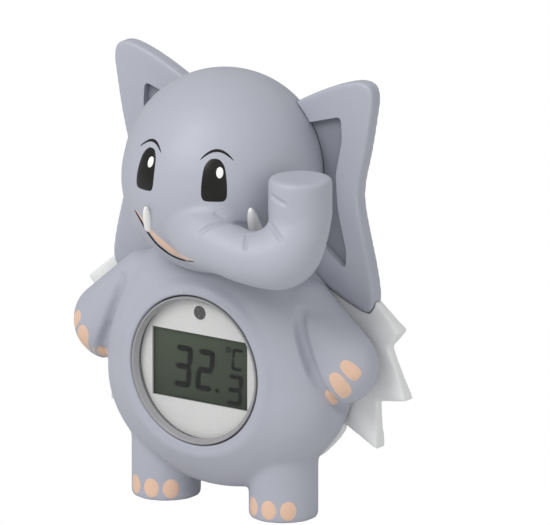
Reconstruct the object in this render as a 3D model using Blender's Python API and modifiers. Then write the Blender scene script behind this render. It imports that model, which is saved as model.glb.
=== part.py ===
"""Baby bath thermometer: a hollow seated elephant that stands on two flat soles.

The figure faces -Y and its left side is +X. It is modelled about its own upright axis,
and one empty then centres the whole outline over the origin. All sizes are in metres.
"""
from math import cos, pi, radians, sin, sqrt

import bmesh
import bpy
from mathutils import Matrix, Vector

# Fits and walls
FIT_GAP = 0.0003
SHELL_WALL = 0.0022
SEAT_WALL = 0.0028

# Head
HEAD_RADIUS = 0.0250
HEAD_HEIGHT = 0.0858
JAW_RADIUS = 0.0242
JAW_FORWARD = 0.0022
JAW_DROP = 0.0016
FACE_TURN = 5.5
SPIGOT_RADIUS = 0.0042
SPIGOT_BORE = 0.0026
SPIGOT_SETBACK = 0.0010
SPIGOT_TIP = 0.0022
CLIP_THICKNESS = 0.0010
CLIP_WIDTH = 0.0020
CLIP_GROOVE = 0.0008
CLIP_MOUTH = 0.0050

# Trunk: the middle of its section from the root to the cut tip, and its radius there
TRUNK_PATH = (
    ((-0.0010, -0.0150, 0.0745), 0.0090),
    ((0.0080, -0.0220, 0.0737), 0.0076),
    ((0.0168, -0.0240, 0.0733), 0.0070),
    ((0.0250, -0.0235, 0.0728), 0.0073),
    ((0.0318, -0.0200, 0.0742), 0.0081),
    ((0.0342, -0.0170, 0.0797), 0.0081),
    ((0.0338, -0.0160, 0.0866), 0.0080),
    ((0.0338, -0.0160, 0.0922), 0.0079),
)

# Eyes, as angles on the head
EYE_SPREAD = 22.7
EYE_RISE = 8.8
EYE_WIDTH = 0.0069
EYE_HEIGHT = 0.0112
EYE_DEPTH = 0.0008
EYE_SHOULDER = 0.10
EYE_CROWN = 0.45
EYE_ROUND = 0.34

# Mouth: bearing from straight ahead and height on the head, in degrees
MOUTH_LINE = ((-18.5, -38.0), (-13.5, -45.0), (-5.0, -50.5), (6.0, -52.0))
MOUTH_THICKNESS = 0.0024
MOUTH_SINK = 0.0007

# Tusks: root centre on the head and tip
TUSK_LEFT = ((0.0161, -0.0135, 0.0722), (0.0205, -0.0180, 0.0828))
TUSK_RIGHT = ((-0.0076, -0.0216, 0.0726), (-0.0052, -0.0262, 0.0808))
TUSK_RADIUS = 0.0016
TUSK_TIP_RADIUS = 0.0004
TUSK_ROOT = 0.0012

# Ears: one outline, mirrored, as (x, z); the tongue sits in a slot of the head
EAR_OUTLINE = (
    (0.0120, 0.0985), (0.0150, 0.1027), (0.0241, 0.1077), (0.0320, 0.1106), (0.0366, 0.1114),
    (0.0388, 0.1100), (0.0389, 0.1068), (0.0381, 0.1015), (0.0366, 0.0932), (0.0347, 0.0855),
    (0.0345, 0.0800), (0.0362, 0.0720), (0.0384, 0.0630), (0.0392, 0.0565), (0.0388, 0.0541),
    (0.0354, 0.0529), (0.0230, 0.0588), (0.0150, 0.0660),
)
EAR_RECESS = (
    (0.0180, 0.0970), (0.0295, 0.1017), (0.0299, 0.0958), (0.0280, 0.0867), (0.0286, 0.0779),
    (0.0312, 0.0676), (0.0310, 0.0630), (0.0220, 0.0690),
)
EAR_THICKNESS = 0.0041
EAR_RECESS_DEPTH = 0.0016
EAR_EDGE = 0.0009
EAR_ROUND = 0.0040
EAR_GAP = 0.0004
TONGUE_LENGTH = 0.0045
TONGUE_HEIGHT = 0.0120
TONGUE_THICKNESS = 0.0020

# Torso
TORSO_RADII = (0.0350, 0.0200, 0.0320)
TORSO_SETBACK = 0.0030
TORSO_HEIGHT = 0.0373
BELLY_CENTRE = (0.0, -0.0005, 0.0316)
BELLY_RADII = (0.0330, 0.0164, 0.0264)

# Arms: rounded flippers that widen evenly from the shoulder down to the hand
SHOULDER_CENTRE = (0.0238, 0.0005, 0.0537)
SHOULDER_RADII = (0.0076, 0.0068, 0.0076)
HAND_CENTRE = (0.0350, 0.0005, 0.0412)
HAND_RADII = (0.0098, 0.0075, 0.0098)
ARM_STEPS = 6

# Legs
LEG_SPACING = 0.0354
LEG_RADIUS = 0.0086
LEG_TOP = 0.0220

# Splash plate behind the torso: half outline from the lowest point round to the ear
PLATE_FRONT = 0.0076
PLATE_THICKNESS = 0.0040
PLATE_TIPS = ((0.0402, 0.0184), (0.0492, 0.0320), (0.0470, 0.0492))
PLATE_NOTCHES = ((0.0284, 0.0238), (0.0396, 0.0305), (0.0430, 0.0447), (0.0400, 0.0553))
PLATE_EDGE = 0.0005
PLATE_TIP_ROUND = 0.0020
PLATE_NOTCH_ROUND = 0.0015
PLATE_OVAL_TURN = 75.0
PLATE_OVAL_STEPS = 12
PLATE_TOP = 0.0640
PLATE_TOP_REACH = 0.0230

# Rear drum with the battery bay
DRUM_RADIUS = 0.0190
DRUM_HEIGHT = 0.0400
DRUM_BACK = 0.0186
DRUM_ROUND = 0.0015
BAY_RADIUS = 0.0104
BAY_FLOOR = 0.0110
DOOR_RADIUS = 0.0166
DOOR_THICKNESS = 0.0020
DOOR_SCREW_SPACING = 0.0276
SEAL_RADIUS = 0.0116
SEAL_SECTION = 0.0010
CELL_RADIUS = 0.0100
CELL_THICKNESS = 0.0032
CELL_ROUND = 0.0004
CONTACT_THICKNESS = 0.0004
CONTACT_WIDTH = 0.0040
CONTACT_LENGTH = 0.0160

# Sensor and water contacts
SENSOR_DROP = 0.0225
SENSOR_RADIUS = 0.0030
SENSOR_REACH = 0.0026
SENSOR_FLANGE = 0.0042
SENSOR_SKIN = 0.0005
PIN_SPACING = 0.0190
PIN_RADIUS = 0.0015
PIN_HEAD_RADIUS = 0.0024
PIN_HEAD = 0.0008
BEAD_RADIUS = 0.0010

# Gasket between the torso and the plate
GASKET_WIDTH = 0.0009
GASKET_DEPTH = 0.0010
GASKET_INSET = 0.0011

# Display window
WINDOW_HEIGHT = 0.0370
WINDOW_RADIUS = 0.0190
WINDOW_FACE = -0.0134
BOSS_WALL = 0.0025
BOSS_END = -0.0092
RIM_WIDTH = 0.0013
RIM_DEPTH = 0.0013
BEZEL_FLANGE = 0.0010
BEZEL_END = -0.0068
LENS_THICKNESS = 0.0008
DIAL_THICKNESS = 0.0005
DISPLAY_CORNER = 0.0010
DISPLAY_ASPECT = 1.644
CELL_MARGIN = 0.0007
GLASS_THICKNESS = 0.0016
CARRIER_THICKNESS = 0.0023
CARRIER_MARGIN = 0.0014
LAMP_RISE = 0.0142
LAMP_RADIUS = 0.00165

# Circuit board and what is on it
BOARD_WIDTH = 0.0450
BOARD_HEIGHT = 0.0320
BOARD_THICKNESS = 0.0010
BOARD_CORNER = 0.0030
POST_RADIUS = 0.0024
POST_SPACING = 0.0410
POST_RISE = 0.0130
SCREW_RADIUS = 0.0009
SCREW_HEAD_RADIUS = 0.0018
SCREW_HEAD = 0.0011
SCREW_LENGTH = 0.0042
SCREW_SLOT_WIDTH = 0.0005
SCREW_SLOT_LENGTH = 0.0025
STRIP_THICKNESS = 0.0020
CHIP_RADIUS = 0.0042
CHIP_HEIGHT = 0.0016
CHIP_ROUND = 0.0006
CHIP_SHIFT = (0.0070, 0.0070)
BUZZER_RADIUS = 0.0050
BUZZER_HEIGHT = 0.0030
BUZZER_PORT = 0.0010
BUZZER_SHIFT = (-0.0110, 0.0050)
LED_SIZE = 0.0020
LED_HEIGHT = 0.0012

# Screws that hold the plate to the torso, as (x, z) on one side
CASE_SCREWS = ((0.0160, 0.0175), (0.0160, 0.0570))
CASE_POST_RADIUS = 0.0026
CASE_SCREW_LENGTH = 0.0075

# How finely round forms are cut, and how far a cutter runs past what it cuts
HOLE_STEPS = 12
SMALL_STEPS = 16
ROUND_STEPS = 20
FINE_STEPS = 32
PAST = 0.0010
SKIN_VOXEL = 0.0020
CAVITY_VOXEL = 0.0032
TORSO_FINENESS = 0.17
HEAD_FINENESS = 0.21
HOLLOW_FINENESS = 0.25

HEAD_CENTRE = Vector((0, 0, HEAD_HEIGHT))
JAW_CENTRE = HEAD_CENTRE + Vector((0, -JAW_FORWARD, -JAW_DROP))
TORSO_CENTRE = Vector((0, TORSO_SETBACK, TORSO_HEIGHT))
TORSO_BACK = PLATE_FRONT - FIT_GAP
PLATE_BACK = PLATE_FRONT + PLATE_THICKNESS
RIM_SHARE = sqrt(1 - ((PLATE_FRONT - TORSO_SETBACK) / TORSO_RADII[1]) ** 2)
DOOR_SEAT = DRUM_BACK - DOOR_THICKNESS - FIT_GAP
SEAL_START = DOOR_SEAT - SEAL_SECTION
BEZEL_RADIUS = WINDOW_RADIUS - FIT_GAP
BEZEL_THROAT = BEZEL_RADIUS - RIM_WIDTH
POCKET_RADIUS = BEZEL_RADIUS - RIM_WIDTH / 2
LENS_FRONT = WINDOW_FACE + RIM_DEPTH + FIT_GAP
DIAL_FRONT = LENS_FRONT + LENS_THICKNESS + FIT_GAP
GLASS_FRONT = DIAL_FRONT + DIAL_THICKNESS + FIT_GAP
CARRIER_FRONT = GLASS_FRONT + GLASS_THICKNESS + FIT_GAP
BOARD_FRONT = CARRIER_FRONT + CARRIER_THICKNESS + FIT_GAP
BOARD_BACK = BOARD_FRONT + BOARD_THICKNESS
POST_END = BOARD_FRONT - FIT_GAP
STACK_RADIUS = POCKET_RADIUS - FIT_GAP
DISPLAY_HEIGHT = 2 * (STACK_RADIUS - DISPLAY_CORNER) / sqrt(1 + DISPLAY_ASPECT ** 2)
DISPLAY_WIDTH = DISPLAY_HEIGHT * DISPLAY_ASPECT
LAMP_HEIGHT = WINDOW_HEIGHT + LAMP_RISE
BOARD_BOTTOM = WINDOW_HEIGHT - BOARD_HEIGHT / 2
BOARD_TOP = WINDOW_HEIGHT + BOARD_HEIGHT / 2
SENSOR_HEIGHT = DRUM_HEIGHT - SENSOR_DROP
CLIP_HEIGHT = HEAD_HEIGHT - HEAD_RADIUS - FIT_GAP - SEAT_WALL - CLIP_THICKNESS
SPIGOT_END = CLIP_HEIGHT - SPIGOT_TIP
REACH = 4 * HEAD_RADIUS
FRONT_REACH = min(point[1] - radius for point, radius in TRUNK_PATH)
FIGURE_SHIFT = -(FRONT_REACH + max(DRUM_BACK, HEAD_RADIUS)) / 2


def clear_scene():
    """Removes what the file opened with."""
    for old in list(bpy.data.objects):
        bpy.data.objects.remove(old, do_unlink=True)


def make_collection(name):
    group = bpy.data.collections.new(name)
    bpy.context.scene.collection.children.link(group)
    return group


clear_scene()
PARTS = make_collection("baby_bath_thermometer")
CUTTERS = make_collection("cutters")
FIGURE = bpy.data.objects.new("figure_axis", None)
FIGURE.location = (0, FIGURE_SHIFT, 0)
PARTS.objects.link(FIGURE)


def plain_material(name, colour, roughness, metallic=0.0):
    made = bpy.data.materials.new(name)
    made.use_nodes = True
    shader = made.node_tree.nodes["Principled BSDF"]
    shader.inputs["Base Color"].default_value = (*colour, 1)
    shader.inputs["Roughness"].default_value = roughness
    shader.inputs["Metallic"].default_value = metallic
    made.diffuse_color = (*colour, 1)
    return made


SOFT_GREY = plain_material("soft_grey_plastic", (0.46, 0.47, 0.54), 0.55)
WHITE = plain_material("white_plastic", (0.76, 0.76, 0.76), 0.40)
IVORY = plain_material("tusk_white", (0.86, 0.86, 0.85), 0.35)
PEACH = plain_material("peach_plastic", (0.76, 0.50, 0.37), 0.50)
EYE_BLACK = plain_material("eye_black", (0.022, 0.022, 0.021), 0.25)
SILVER = plain_material("silver_plastic", (0.36, 0.36, 0.37), 0.35)
CLEAR = plain_material("clear_plastic", (0.92, 0.93, 0.93), 0.05)
DIAL_WHITE = plain_material("dial_white", (0.62, 0.62, 0.61), 0.50)
GLASS_GREEN = plain_material("display_glass", (0.070, 0.080, 0.060), 0.15)
LAMP_DARK = plain_material("lamp_window_dark", (0.050, 0.050, 0.050), 0.20)
RUBBER = plain_material("seal_rubber", (0.060, 0.060, 0.062), 0.80)
BOARD_GREEN = plain_material("board_green", (0.030, 0.160, 0.070), 0.45)
BLACK = plain_material("black_resin", (0.020, 0.020, 0.020), 0.40)
STEEL = plain_material("bright_steel", (0.60, 0.60, 0.60), 0.25, 1.0)


def mesh_object(name, shape, group=CUTTERS):
    """Makes an object of a bmesh; a cutter until it is finished as a part."""
    mesh = bpy.data.meshes.new(name)
    shape.to_mesh(mesh)
    shape.free()
    made = bpy.data.objects.new(name, mesh)
    made.parent = FIGURE
    group.objects.link(made)
    if group is CUTTERS:
        made.hide_render = True
        made.display_type = "WIRE"
    return made


def finish(made, material, sharp_angle=35.0):
    """Turns a shape into a part of the model with its own material."""
    if made.name in CUTTERS.objects:
        CUTTERS.objects.unlink(made)
        PARTS.objects.link(made)
    made.hide_render = False
    made.display_type = "TEXTURED"
    made.data.materials.clear()
    made.data.materials.append(material)
    made.data.shade_smooth()
    made.data.set_sharp_from_angle(angle=radians(sharp_angle))
    return made


def cut(target, tool, operation="DIFFERENCE"):
    step = target.modifiers.new(tool.name, "BOOLEAN")
    step.operation = operation
    step.solver = "EXACT"
    step.object = tool
    return target


def cut_all(target, tools, operation="DIFFERENCE"):
    for tool in tools:
        cut(target, tool, operation)
    return target


def bevel(target, width, segments=2, angle=30.0):
    step = target.modifiers.new("rounded_edges", "BEVEL")
    step.width = width
    step.segments = segments
    step.limit_method = "ANGLE"
    step.angle_limit = radians(angle)
    return target


def ball(name, centre, radius, steps=FINE_STEPS):
    return ellipsoid(name, centre, (radius, radius, radius), steps)


def ellipsoid(name, centre, radii, steps=FINE_STEPS):
    """A stretched ball."""
    shape = bmesh.new()
    bmesh.ops.create_uvsphere(shape, u_segments=steps, v_segments=steps // 2, radius=1)
    bmesh.ops.scale(shape, vec=radii, verts=shape.verts)
    bmesh.ops.translate(shape, vec=centre, verts=shape.verts)
    return mesh_object(name, shape)


def rod_y(name, x, z, radius, start, end, steps=ROUND_STEPS):
    """A round bar along Y from start to end."""
    shape = bmesh.new()
    bmesh.ops.create_cone(
        shape, cap_ends=True, segments=steps, radius1=radius, radius2=radius, depth=end - start
    )
    bmesh.ops.rotate(shape, matrix=Matrix.Rotation(pi / 2, 3, "X"), verts=shape.verts)
    bmesh.ops.translate(shape, vec=(x, (start + end) / 2, z), verts=shape.verts)
    return mesh_object(name, shape)


def rod_z(name, x, y, radius, bottom, top, steps=ROUND_STEPS):
    shape = bmesh.new()
    bmesh.ops.create_cone(
        shape, cap_ends=True, segments=steps, radius1=radius, radius2=radius, depth=top - bottom
    )
    bmesh.ops.translate(shape, vec=(x, y, (bottom + top) / 2), verts=shape.verts)
    return mesh_object(name, shape)


def block(name, low, high):
    shape = bmesh.new()
    bmesh.ops.create_cube(shape, size=1)
    size = [b - a for a, b in zip(low, high)]
    middle = [(a + b) / 2 for a, b in zip(low, high)]
    bmesh.ops.scale(shape, vec=size, verts=shape.verts)
    bmesh.ops.translate(shape, vec=middle, verts=shape.verts)
    return mesh_object(name, shape)


def curve_to_mesh(curve_object, name):
    """Freezes a curve as a welded mesh, which cuts and joins can use."""
    bpy.context.view_layer.update()
    depsgraph = bpy.context.evaluated_depsgraph_get()
    mesh = bpy.data.meshes.new_from_object(curve_object.evaluated_get(depsgraph))
    shape = bmesh.new()
    shape.from_mesh(mesh)
    bmesh.ops.remove_doubles(shape, verts=shape.verts, dist=1e-6)
    bmesh.ops.recalc_face_normals(shape, faces=shape.faces)
    placed = curve_object.matrix_world.copy()
    bpy.data.objects.remove(curve_object, do_unlink=True)
    bpy.data.meshes.remove(mesh)
    made = mesh_object(name, shape)
    made.matrix_world = FIGURE.matrix_basis @ placed
    return made


def tube(name, path, shrink=0.0, resolution=4, sides=3):
    """A smooth round tube through (point, radius) pairs, with flat ends."""
    curve = bpy.data.curves.new(name, "CURVE")
    curve.dimensions = "3D"
    curve.bevel_depth = 1.0
    curve.bevel_resolution = sides
    curve.resolution_u = resolution
    curve.use_fill_caps = True
    spline = curve.splines.new("BEZIER")
    spline.bezier_points.add(len(path) - 1)
    for knot, (point, radius) in zip(spline.bezier_points, path):
        knot.co = point
        knot.handle_left_type = "AUTO"
        knot.handle_right_type = "AUTO"
        knot.radius = radius - shrink
    made = bpy.data.objects.new(name, curve)
    CUTTERS.objects.link(made)
    return curve_to_mesh(made, name)


def flat_shape(name, outline, start, end):
    """A plate between two Y planes from an outline of (x, z) points."""
    curve = bpy.data.curves.new(name, "CURVE")
    curve.dimensions = "2D"
    curve.fill_mode = "BOTH"
    curve.extrude = (end - start) / 2
    spline = curve.splines.new("POLY")
    spline.points.add(len(outline) - 1)
    for knot, (x, z) in zip(spline.points, outline):
        knot.co = (x, z, 0, 1)
    spline.use_cyclic_u = True
    made = bpy.data.objects.new(name, curve)
    made.rotation_euler = (pi / 2, 0, 0)
    made.location = (0, (start + end) / 2, 0)
    CUTTERS.objects.link(made)
    return curve_to_mesh(made, name)


def rounded(points, radius, steps=4):
    """An outline with each corner turned into a short round of the given radius."""
    result = []
    count = len(points)
    for i, point in enumerate(points):
        here = Vector(point)
        before = Vector(points[i - 1]) - here
        after = Vector(points[(i + 1) % count]) - here
        reach = min(radius, before.length * 0.45, after.length * 0.45)
        first = here + before.normalized() * reach
        last = here + after.normalized() * reach
        for k in range(steps + 1):
            t = k / steps
            blend = first * (1 - t) ** 2 + here * 2 * t * (1 - t) + last * t ** 2
            result.append(tuple(blend))
    return result


def mirrored(points):
    return [(-x, z) for x, z in reversed(points)]


def skin(name, forms, voxel, keep, smoothing=8):
    """Melts overlapping forms into one soft body."""
    shape = bmesh.new()
    depsgraph = bpy.context.evaluated_depsgraph_get()
    for form in forms:
        mesh = bpy.data.meshes.new_from_object(form.evaluated_get(depsgraph))
        mesh.transform(FIGURE.matrix_basis.inverted() @ form.matrix_world)
        shape.from_mesh(mesh)
        bpy.data.meshes.remove(mesh)
        bpy.data.objects.remove(form, do_unlink=True)
    made = mesh_object(name, shape)
    melt = made.modifiers.new("melt", "REMESH")
    melt.mode = "VOXEL"
    melt.voxel_size = voxel
    soften = made.modifiers.new("soften", "SMOOTH")
    soften.factor = 0.5
    soften.iterations = smoothing
    thin = made.modifiers.new("thin", "DECIMATE")
    thin.ratio = keep
    return made


def on_face(bearing, rise, sink=0.0):
    """A point on the head or jaw, by its bearing from -Y towards +X and its rise, in degrees."""
    level = cos(radians(rise))
    way = Vector((sin(radians(bearing)) * level, -cos(radians(bearing)) * level, sin(radians(rise))))
    offset = JAW_CENTRE - HEAD_CENTRE
    along = way.dot(offset)
    jaw_reach = along + sqrt(along ** 2 - offset.length_squared + JAW_RADIUS ** 2)
    return HEAD_CENTRE + way * (max(HEAD_RADIUS, jaw_reach) - sink)


def torso_forms(inset):
    """Torso, arms and legs, each drawn in by a wall when they shape the hollow inside."""
    forms = [
        ellipsoid("torso_form", TORSO_CENTRE, [r - inset for r in TORSO_RADII]),
        ellipsoid("belly_form", BELLY_CENTRE, [r - inset for r in BELLY_RADII]),
    ]
    for side in (1, -1):
        for k in range(ARM_STEPS + 1):
            centre = Vector(SHOULDER_CENTRE).lerp(Vector(HAND_CENTRE), k / ARM_STEPS)
            radii = Vector(SHOULDER_RADII).lerp(Vector(HAND_RADII), k / ARM_STEPS)
            centre.x *= side
            forms.append(ellipsoid("arm_form", centre, [r - inset for r in radii], ROUND_STEPS))
        sole = inset if inset else -PAST
        leg_x = side * LEG_SPACING / 2
        forms.append(rod_z("leg_form", leg_x, 0, LEG_RADIUS - inset, sole, LEG_TOP))
    bpy.context.view_layer.update()
    return forms


def head_cutters(name, gap):
    """The head's two round forms grown by a gap, to clear a seat for it."""
    skull = ball(name + "_skull", HEAD_CENTRE, HEAD_RADIUS + gap)
    jaw = ball(name + "_jaw", JAW_CENTRE, JAW_RADIUS + gap)
    return [skull, jaw]


def wall_middle(name):
    """The round forms of the tummy at the middle of their wall, where bosses and posts begin."""
    torso = ellipsoid(name, TORSO_CENTRE, [r - SHELL_WALL / 2 for r in TORSO_RADII])
    belly = ellipsoid(name + "_belly", BELLY_CENTRE, [r - SHELL_WALL / 2 for r in BELLY_RADII])
    return cut(torso, belly, "UNION")


def window_boss():
    """The ring behind the tummy window that the bezel slides into."""
    outer = WINDOW_RADIUS + BOSS_WALL
    ring = rod_y("boss_ring", 0, WINDOW_HEIGHT, outer, WINDOW_FACE, BOSS_END, FINE_STEPS)
    return cut(ring, wall_middle("boss_limit"), "INTERSECT")


def post(name, x, z, radius, end):
    """A screw post from the front wall of the torso back to a Y plane."""
    bar = rod_y(name, x, z, radius, TORSO_SETBACK - TORSO_RADII[1], end, SMALL_STEPS)
    return cut(bar, wall_middle(name + "_limit"), "INTERSECT")


def post_places():
    return [
        (side * POST_SPACING / 2, WINDOW_HEIGHT + rise * POST_RISE)
        for side in (1, -1)
        for rise in (1, -1)
    ]


def case_places():
    return [(side * x, z) for side in (1, -1) for x, z in CASE_SCREWS]


def torso_shell():
    """The grey front moulding: torso, arms and legs, hollow and open at the back."""
    body = skin("torso_shell", torso_forms(0.0), SKIN_VOXEL, TORSO_FINENESS, smoothing=5)
    cut_all(body, head_cutters("seat", FIT_GAP))
    hollow = skin("torso_hollow", torso_forms(SHELL_WALL), CAVITY_VOXEL, HOLLOW_FINENESS, smoothing=3)
    cut(hollow, ball("seat_wall", HEAD_CENTRE, HEAD_RADIUS + FIT_GAP + SEAT_WALL))
    cut(body, hollow)
    cut(body, window_boss(), "UNION")
    for number, (x, z) in enumerate(post_places()):
        cut(body, post(f"board_post_{number}", x, z, POST_RADIUS, POST_END), "UNION")
    for number, (x, z) in enumerate(case_places()):
        cut(body, post(f"case_post_{number}", x, z, CASE_POST_RADIUS, TORSO_BACK), "UNION")
    end = BOSS_END + PAST
    cut(body, rod_y("window_hole", 0, WINDOW_HEIGHT, WINDOW_RADIUS, -REACH, end, FINE_STEPS))
    flange = WINDOW_RADIUS + BOSS_WALL + FIT_GAP
    cut(body, rod_y("bezel_room", 0, WINDOW_HEIGHT, flange, BOSS_END, BEZEL_END + FIT_GAP, FINE_STEPS))
    neck = SPIGOT_RADIUS + FIT_GAP
    cut(body, rod_z("neck_hole", 0, SPIGOT_SETBACK, neck, SPIGOT_END, HEAD_HEIGHT))
    hole = SCREW_RADIUS + FIT_GAP
    for number, (x, z) in enumerate(post_places()):
        start = POST_END - SCREW_LENGTH
        cut(body, rod_y(f"board_hole_{number}", x, z, hole, start, POST_END + PAST, HOLE_STEPS))
    for number, (x, z) in enumerate(case_places()):
        start = PLATE_BACK - SCREW_HEAD - CASE_SCREW_LENGTH - FIT_GAP
        cut(body, rod_y(f"case_hole_{number}", x, z, hole, start, TORSO_BACK + PAST, HOLE_STEPS))
    room = block("torso_room", (-REACH, -REACH, 0), (REACH, TORSO_BACK, REACH))
    cut(body, room, "INTERSECT")
    finish(body, SOFT_GREY, 50)


def eye_outline(width, height):
    """An arch with a wide flat foot, centred on its middle, as (x, z)."""
    half = width / 2
    top = height / 2
    shoulder = EYE_SHOULDER * height
    crown = EYE_CROWN * half
    points = [(-half, -top), (half, -top), (half, shoulder), (crown, top), (-crown, top), (-half, shoulder)]
    return rounded(points, width * EYE_ROUND, 3)


def eye_prism(name, bearing, grow):
    """A bar with the eye's outline that runs through the face of the head."""
    outline = eye_outline(EYE_WIDTH + 2 * grow, EYE_HEIGHT + 2 * grow)
    prism = flat_shape(name, outline, -HEAD_RADIUS - 4 * EYE_DEPTH, -HEAD_RADIUS + 4 * EYE_DEPTH)
    turn = Matrix.Rotation(radians(bearing), 4, "Z") @ Matrix.Rotation(radians(-EYE_RISE), 4, "X")
    prism.matrix_world = FIGURE.matrix_basis @ Matrix.Translation(HEAD_CENTRE) @ turn @ (
        FIGURE.matrix_basis.inverted() @ prism.matrix_world
    )
    return prism


def eye(name, bearing):
    """A thin black inlay that follows the curve of the head."""
    inlay = eye_prism(name, bearing, 0.0)
    cut(inlay, ball(name + "_outer", HEAD_CENTRE, HEAD_RADIUS), "INTERSECT")
    cut(inlay, ball(name + "_inner", HEAD_CENTRE, HEAD_RADIUS - EYE_DEPTH))
    finish(inlay, EYE_BLACK)


def eye_pocket(name, bearing):
    pocket = eye_prism(name, bearing, FIT_GAP)
    floor = HEAD_RADIUS - EYE_DEPTH - FIT_GAP
    return cut(pocket, ball(name + "_floor", HEAD_CENTRE, floor))


def mouth_bar(name, grow):
    radius = MOUTH_THICKNESS / 2 + grow
    path = [(on_face(bearing, rise, MOUTH_SINK), radius) for bearing, rise in MOUTH_LINE]
    if grow:
        first = path[0][0] + (path[0][0] - path[1][0]).normalized() * grow
        last = path[-1][0] + (path[-1][0] - path[-2][0]).normalized() * grow
        path = [(first, radius)] + path[1:-1] + [(last, radius)]
    return tube(name, path, resolution=4, sides=2)


def spike(name, root, tip, grow):
    """A tusk, or its socket when it grows, sunk a little below its root point."""
    base, point = Vector(root), Vector(tip)
    along = (point - base).normalized()
    start = base - along * (TUSK_ROOT + grow)
    length = (point - start).length
    shape = bmesh.new()
    thick, thin = TUSK_RADIUS + grow, TUSK_TIP_RADIUS + grow
    bmesh.ops.create_cone(
        shape, cap_ends=True, segments=SMALL_STEPS, radius1=thick, radius2=thin, depth=length
    )
    turn = along.to_track_quat("Z", "Y").to_matrix().to_4x4()
    place = Matrix.Translation(start + along * length / 2) @ turn
    bmesh.ops.transform(shape, matrix=place, verts=shape.verts)
    return mesh_object(name, shape)


def tongue(name, side, grow):
    """The flat tongue at the back of an ear, or its slot when it grows."""
    middle = PLATE_FRONT + EAR_THICKNESS / 2
    half_y = TONGUE_THICKNESS / 2 + grow
    half_z = TONGUE_HEIGHT / 2 + grow
    skull = sqrt(HEAD_RADIUS ** 2 - middle ** 2)
    inner = skull - TONGUE_LENGTH - grow
    outer = skull + EAR_EDGE
    ends = sorted((side * inner, side * outer))
    low = (ends[0], middle - half_y, HEAD_HEIGHT - half_z)
    high = (ends[1], middle + half_y, HEAD_HEIGHT + half_z)
    return block(name, low, high)


def neck_spigot():
    top = HEAD_HEIGHT - HEAD_RADIUS + SHELL_WALL - PAST / 2
    return rod_z("neck_spigot", 0, SPIGOT_SETBACK, SPIGOT_RADIUS, SPIGOT_END, top)


def clip_groove():
    low = CLIP_HEIGHT - FIT_GAP
    high = CLIP_HEIGHT + CLIP_THICKNESS + FIT_GAP
    ring = rod_z("clip_groove", 0, SPIGOT_SETBACK, SPIGOT_RADIUS + FIT_GAP, low, high)
    core_radius = SPIGOT_RADIUS - CLIP_GROOVE
    core = rod_z("clip_groove_core", 0, SPIGOT_SETBACK, core_radius, low - FIT_GAP, high + FIT_GAP)
    return cut(ring, core)


def head_shell():
    """The grey head with its trunk, hollow down to the open neck spigot."""
    forms = [
        ball("skull_form", HEAD_CENTRE, HEAD_RADIUS),
        ball("jaw_form", JAW_CENTRE, JAW_RADIUS),
        tube("trunk_form", TRUNK_PATH, resolution=6, sides=5),
    ]
    bpy.context.view_layer.update()
    head = skin("head_shell", forms, SKIN_VOXEL, HEAD_FINENESS, smoothing=5)
    cut(head, neck_spigot(), "UNION")
    hollow_path = list(TRUNK_PATH[:-1])
    (tip_x, tip_y, tip_z), tip_radius = TRUNK_PATH[-1]
    hollow_path.append(((tip_x, tip_y, tip_z - SHELL_WALL), tip_radius))
    inner_forms = [
        ball("skull_hollow", HEAD_CENTRE, HEAD_RADIUS - SHELL_WALL, ROUND_STEPS),
        tube("trunk_hollow", hollow_path, shrink=SHELL_WALL, resolution=4, sides=2),
    ]
    bpy.context.view_layer.update()
    hollow = skin("head_hollow", inner_forms, CAVITY_VOXEL, HOLLOW_FINENESS, smoothing=3)
    cut(head, hollow)
    inside = HEAD_HEIGHT - HEAD_RADIUS / 2
    cut(head, rod_z("spigot_bore", 0, SPIGOT_SETBACK, SPIGOT_BORE, SPIGOT_END - PAST, inside))
    cut(head, clip_groove())
    for side, name in ((1, "left"), (-1, "right")):
        cut(head, tongue(f"ear_slot_{name}", side, FIT_GAP))
        bearing = FACE_TURN + side * EYE_SPREAD
        cut(head, eye_pocket(f"eye_pocket_{name}", bearing))
    cut(head, spike("tusk_socket_left", *TUSK_LEFT, FIT_GAP))
    cut(head, spike("tusk_socket_right", *TUSK_RIGHT, FIT_GAP))
    cut(head, mouth_bar("mouth_groove", FIT_GAP))
    finish(head, SOFT_GREY, 50)


def ear(name, side):
    """A flat ear with a sunk inner panel and a tongue for the head."""
    outline = rounded(EAR_OUTLINE, EAR_ROUND, 2)
    panel = EAR_RECESS
    if side < 0:
        outline = mirrored(outline)
        panel = mirrored(panel)
    flap = flat_shape(name, outline, PLATE_FRONT, PLATE_FRONT + EAR_THICKNESS)
    bevel(flap, EAR_EDGE, 1)
    sunk = flat_shape(name + "_panel", panel, PLATE_FRONT - PAST, PLATE_FRONT + EAR_RECESS_DEPTH)
    cut(flap, sunk)
    cut(flap, ball(name + "_skull", HEAD_CENTRE, HEAD_RADIUS + FIT_GAP))
    cut(flap, tongue(name + "_tongue", side, 0.0), "UNION")
    finish(flap, SOFT_GREY, 30)


def gasket_region(name, grow, start, end):
    """The area inside the torso's rim: its oval, less the round of the head."""
    oval = rod_y(name, 0, 0, 1, start, end, FINE_STEPS)
    wide = TORSO_RADII[0] * RIM_SHARE + grow
    tall = TORSO_RADII[2] * RIM_SHARE + grow
    for vertex in oval.data.vertices:
        vertex.co.x *= wide
        vertex.co.z = TORSO_HEIGHT + vertex.co.z * tall
    neck = sqrt((HEAD_RADIUS + FIT_GAP) ** 2 - PLATE_FRONT ** 2) - grow
    return cut(oval, rod_y(name + "_neck", 0, HEAD_HEIGHT, neck, start - PAST, end + PAST, FINE_STEPS))


def gasket_band(name, grow, start, end):
    outer = gasket_region(name, grow - GASKET_INSET, start, end)
    inset = GASKET_INSET + GASKET_WIDTH + grow
    inner = gasket_region(name + "_inside", -inset, start - PAST / 2, end + PAST / 2)
    return cut(outer, inner)


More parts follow.
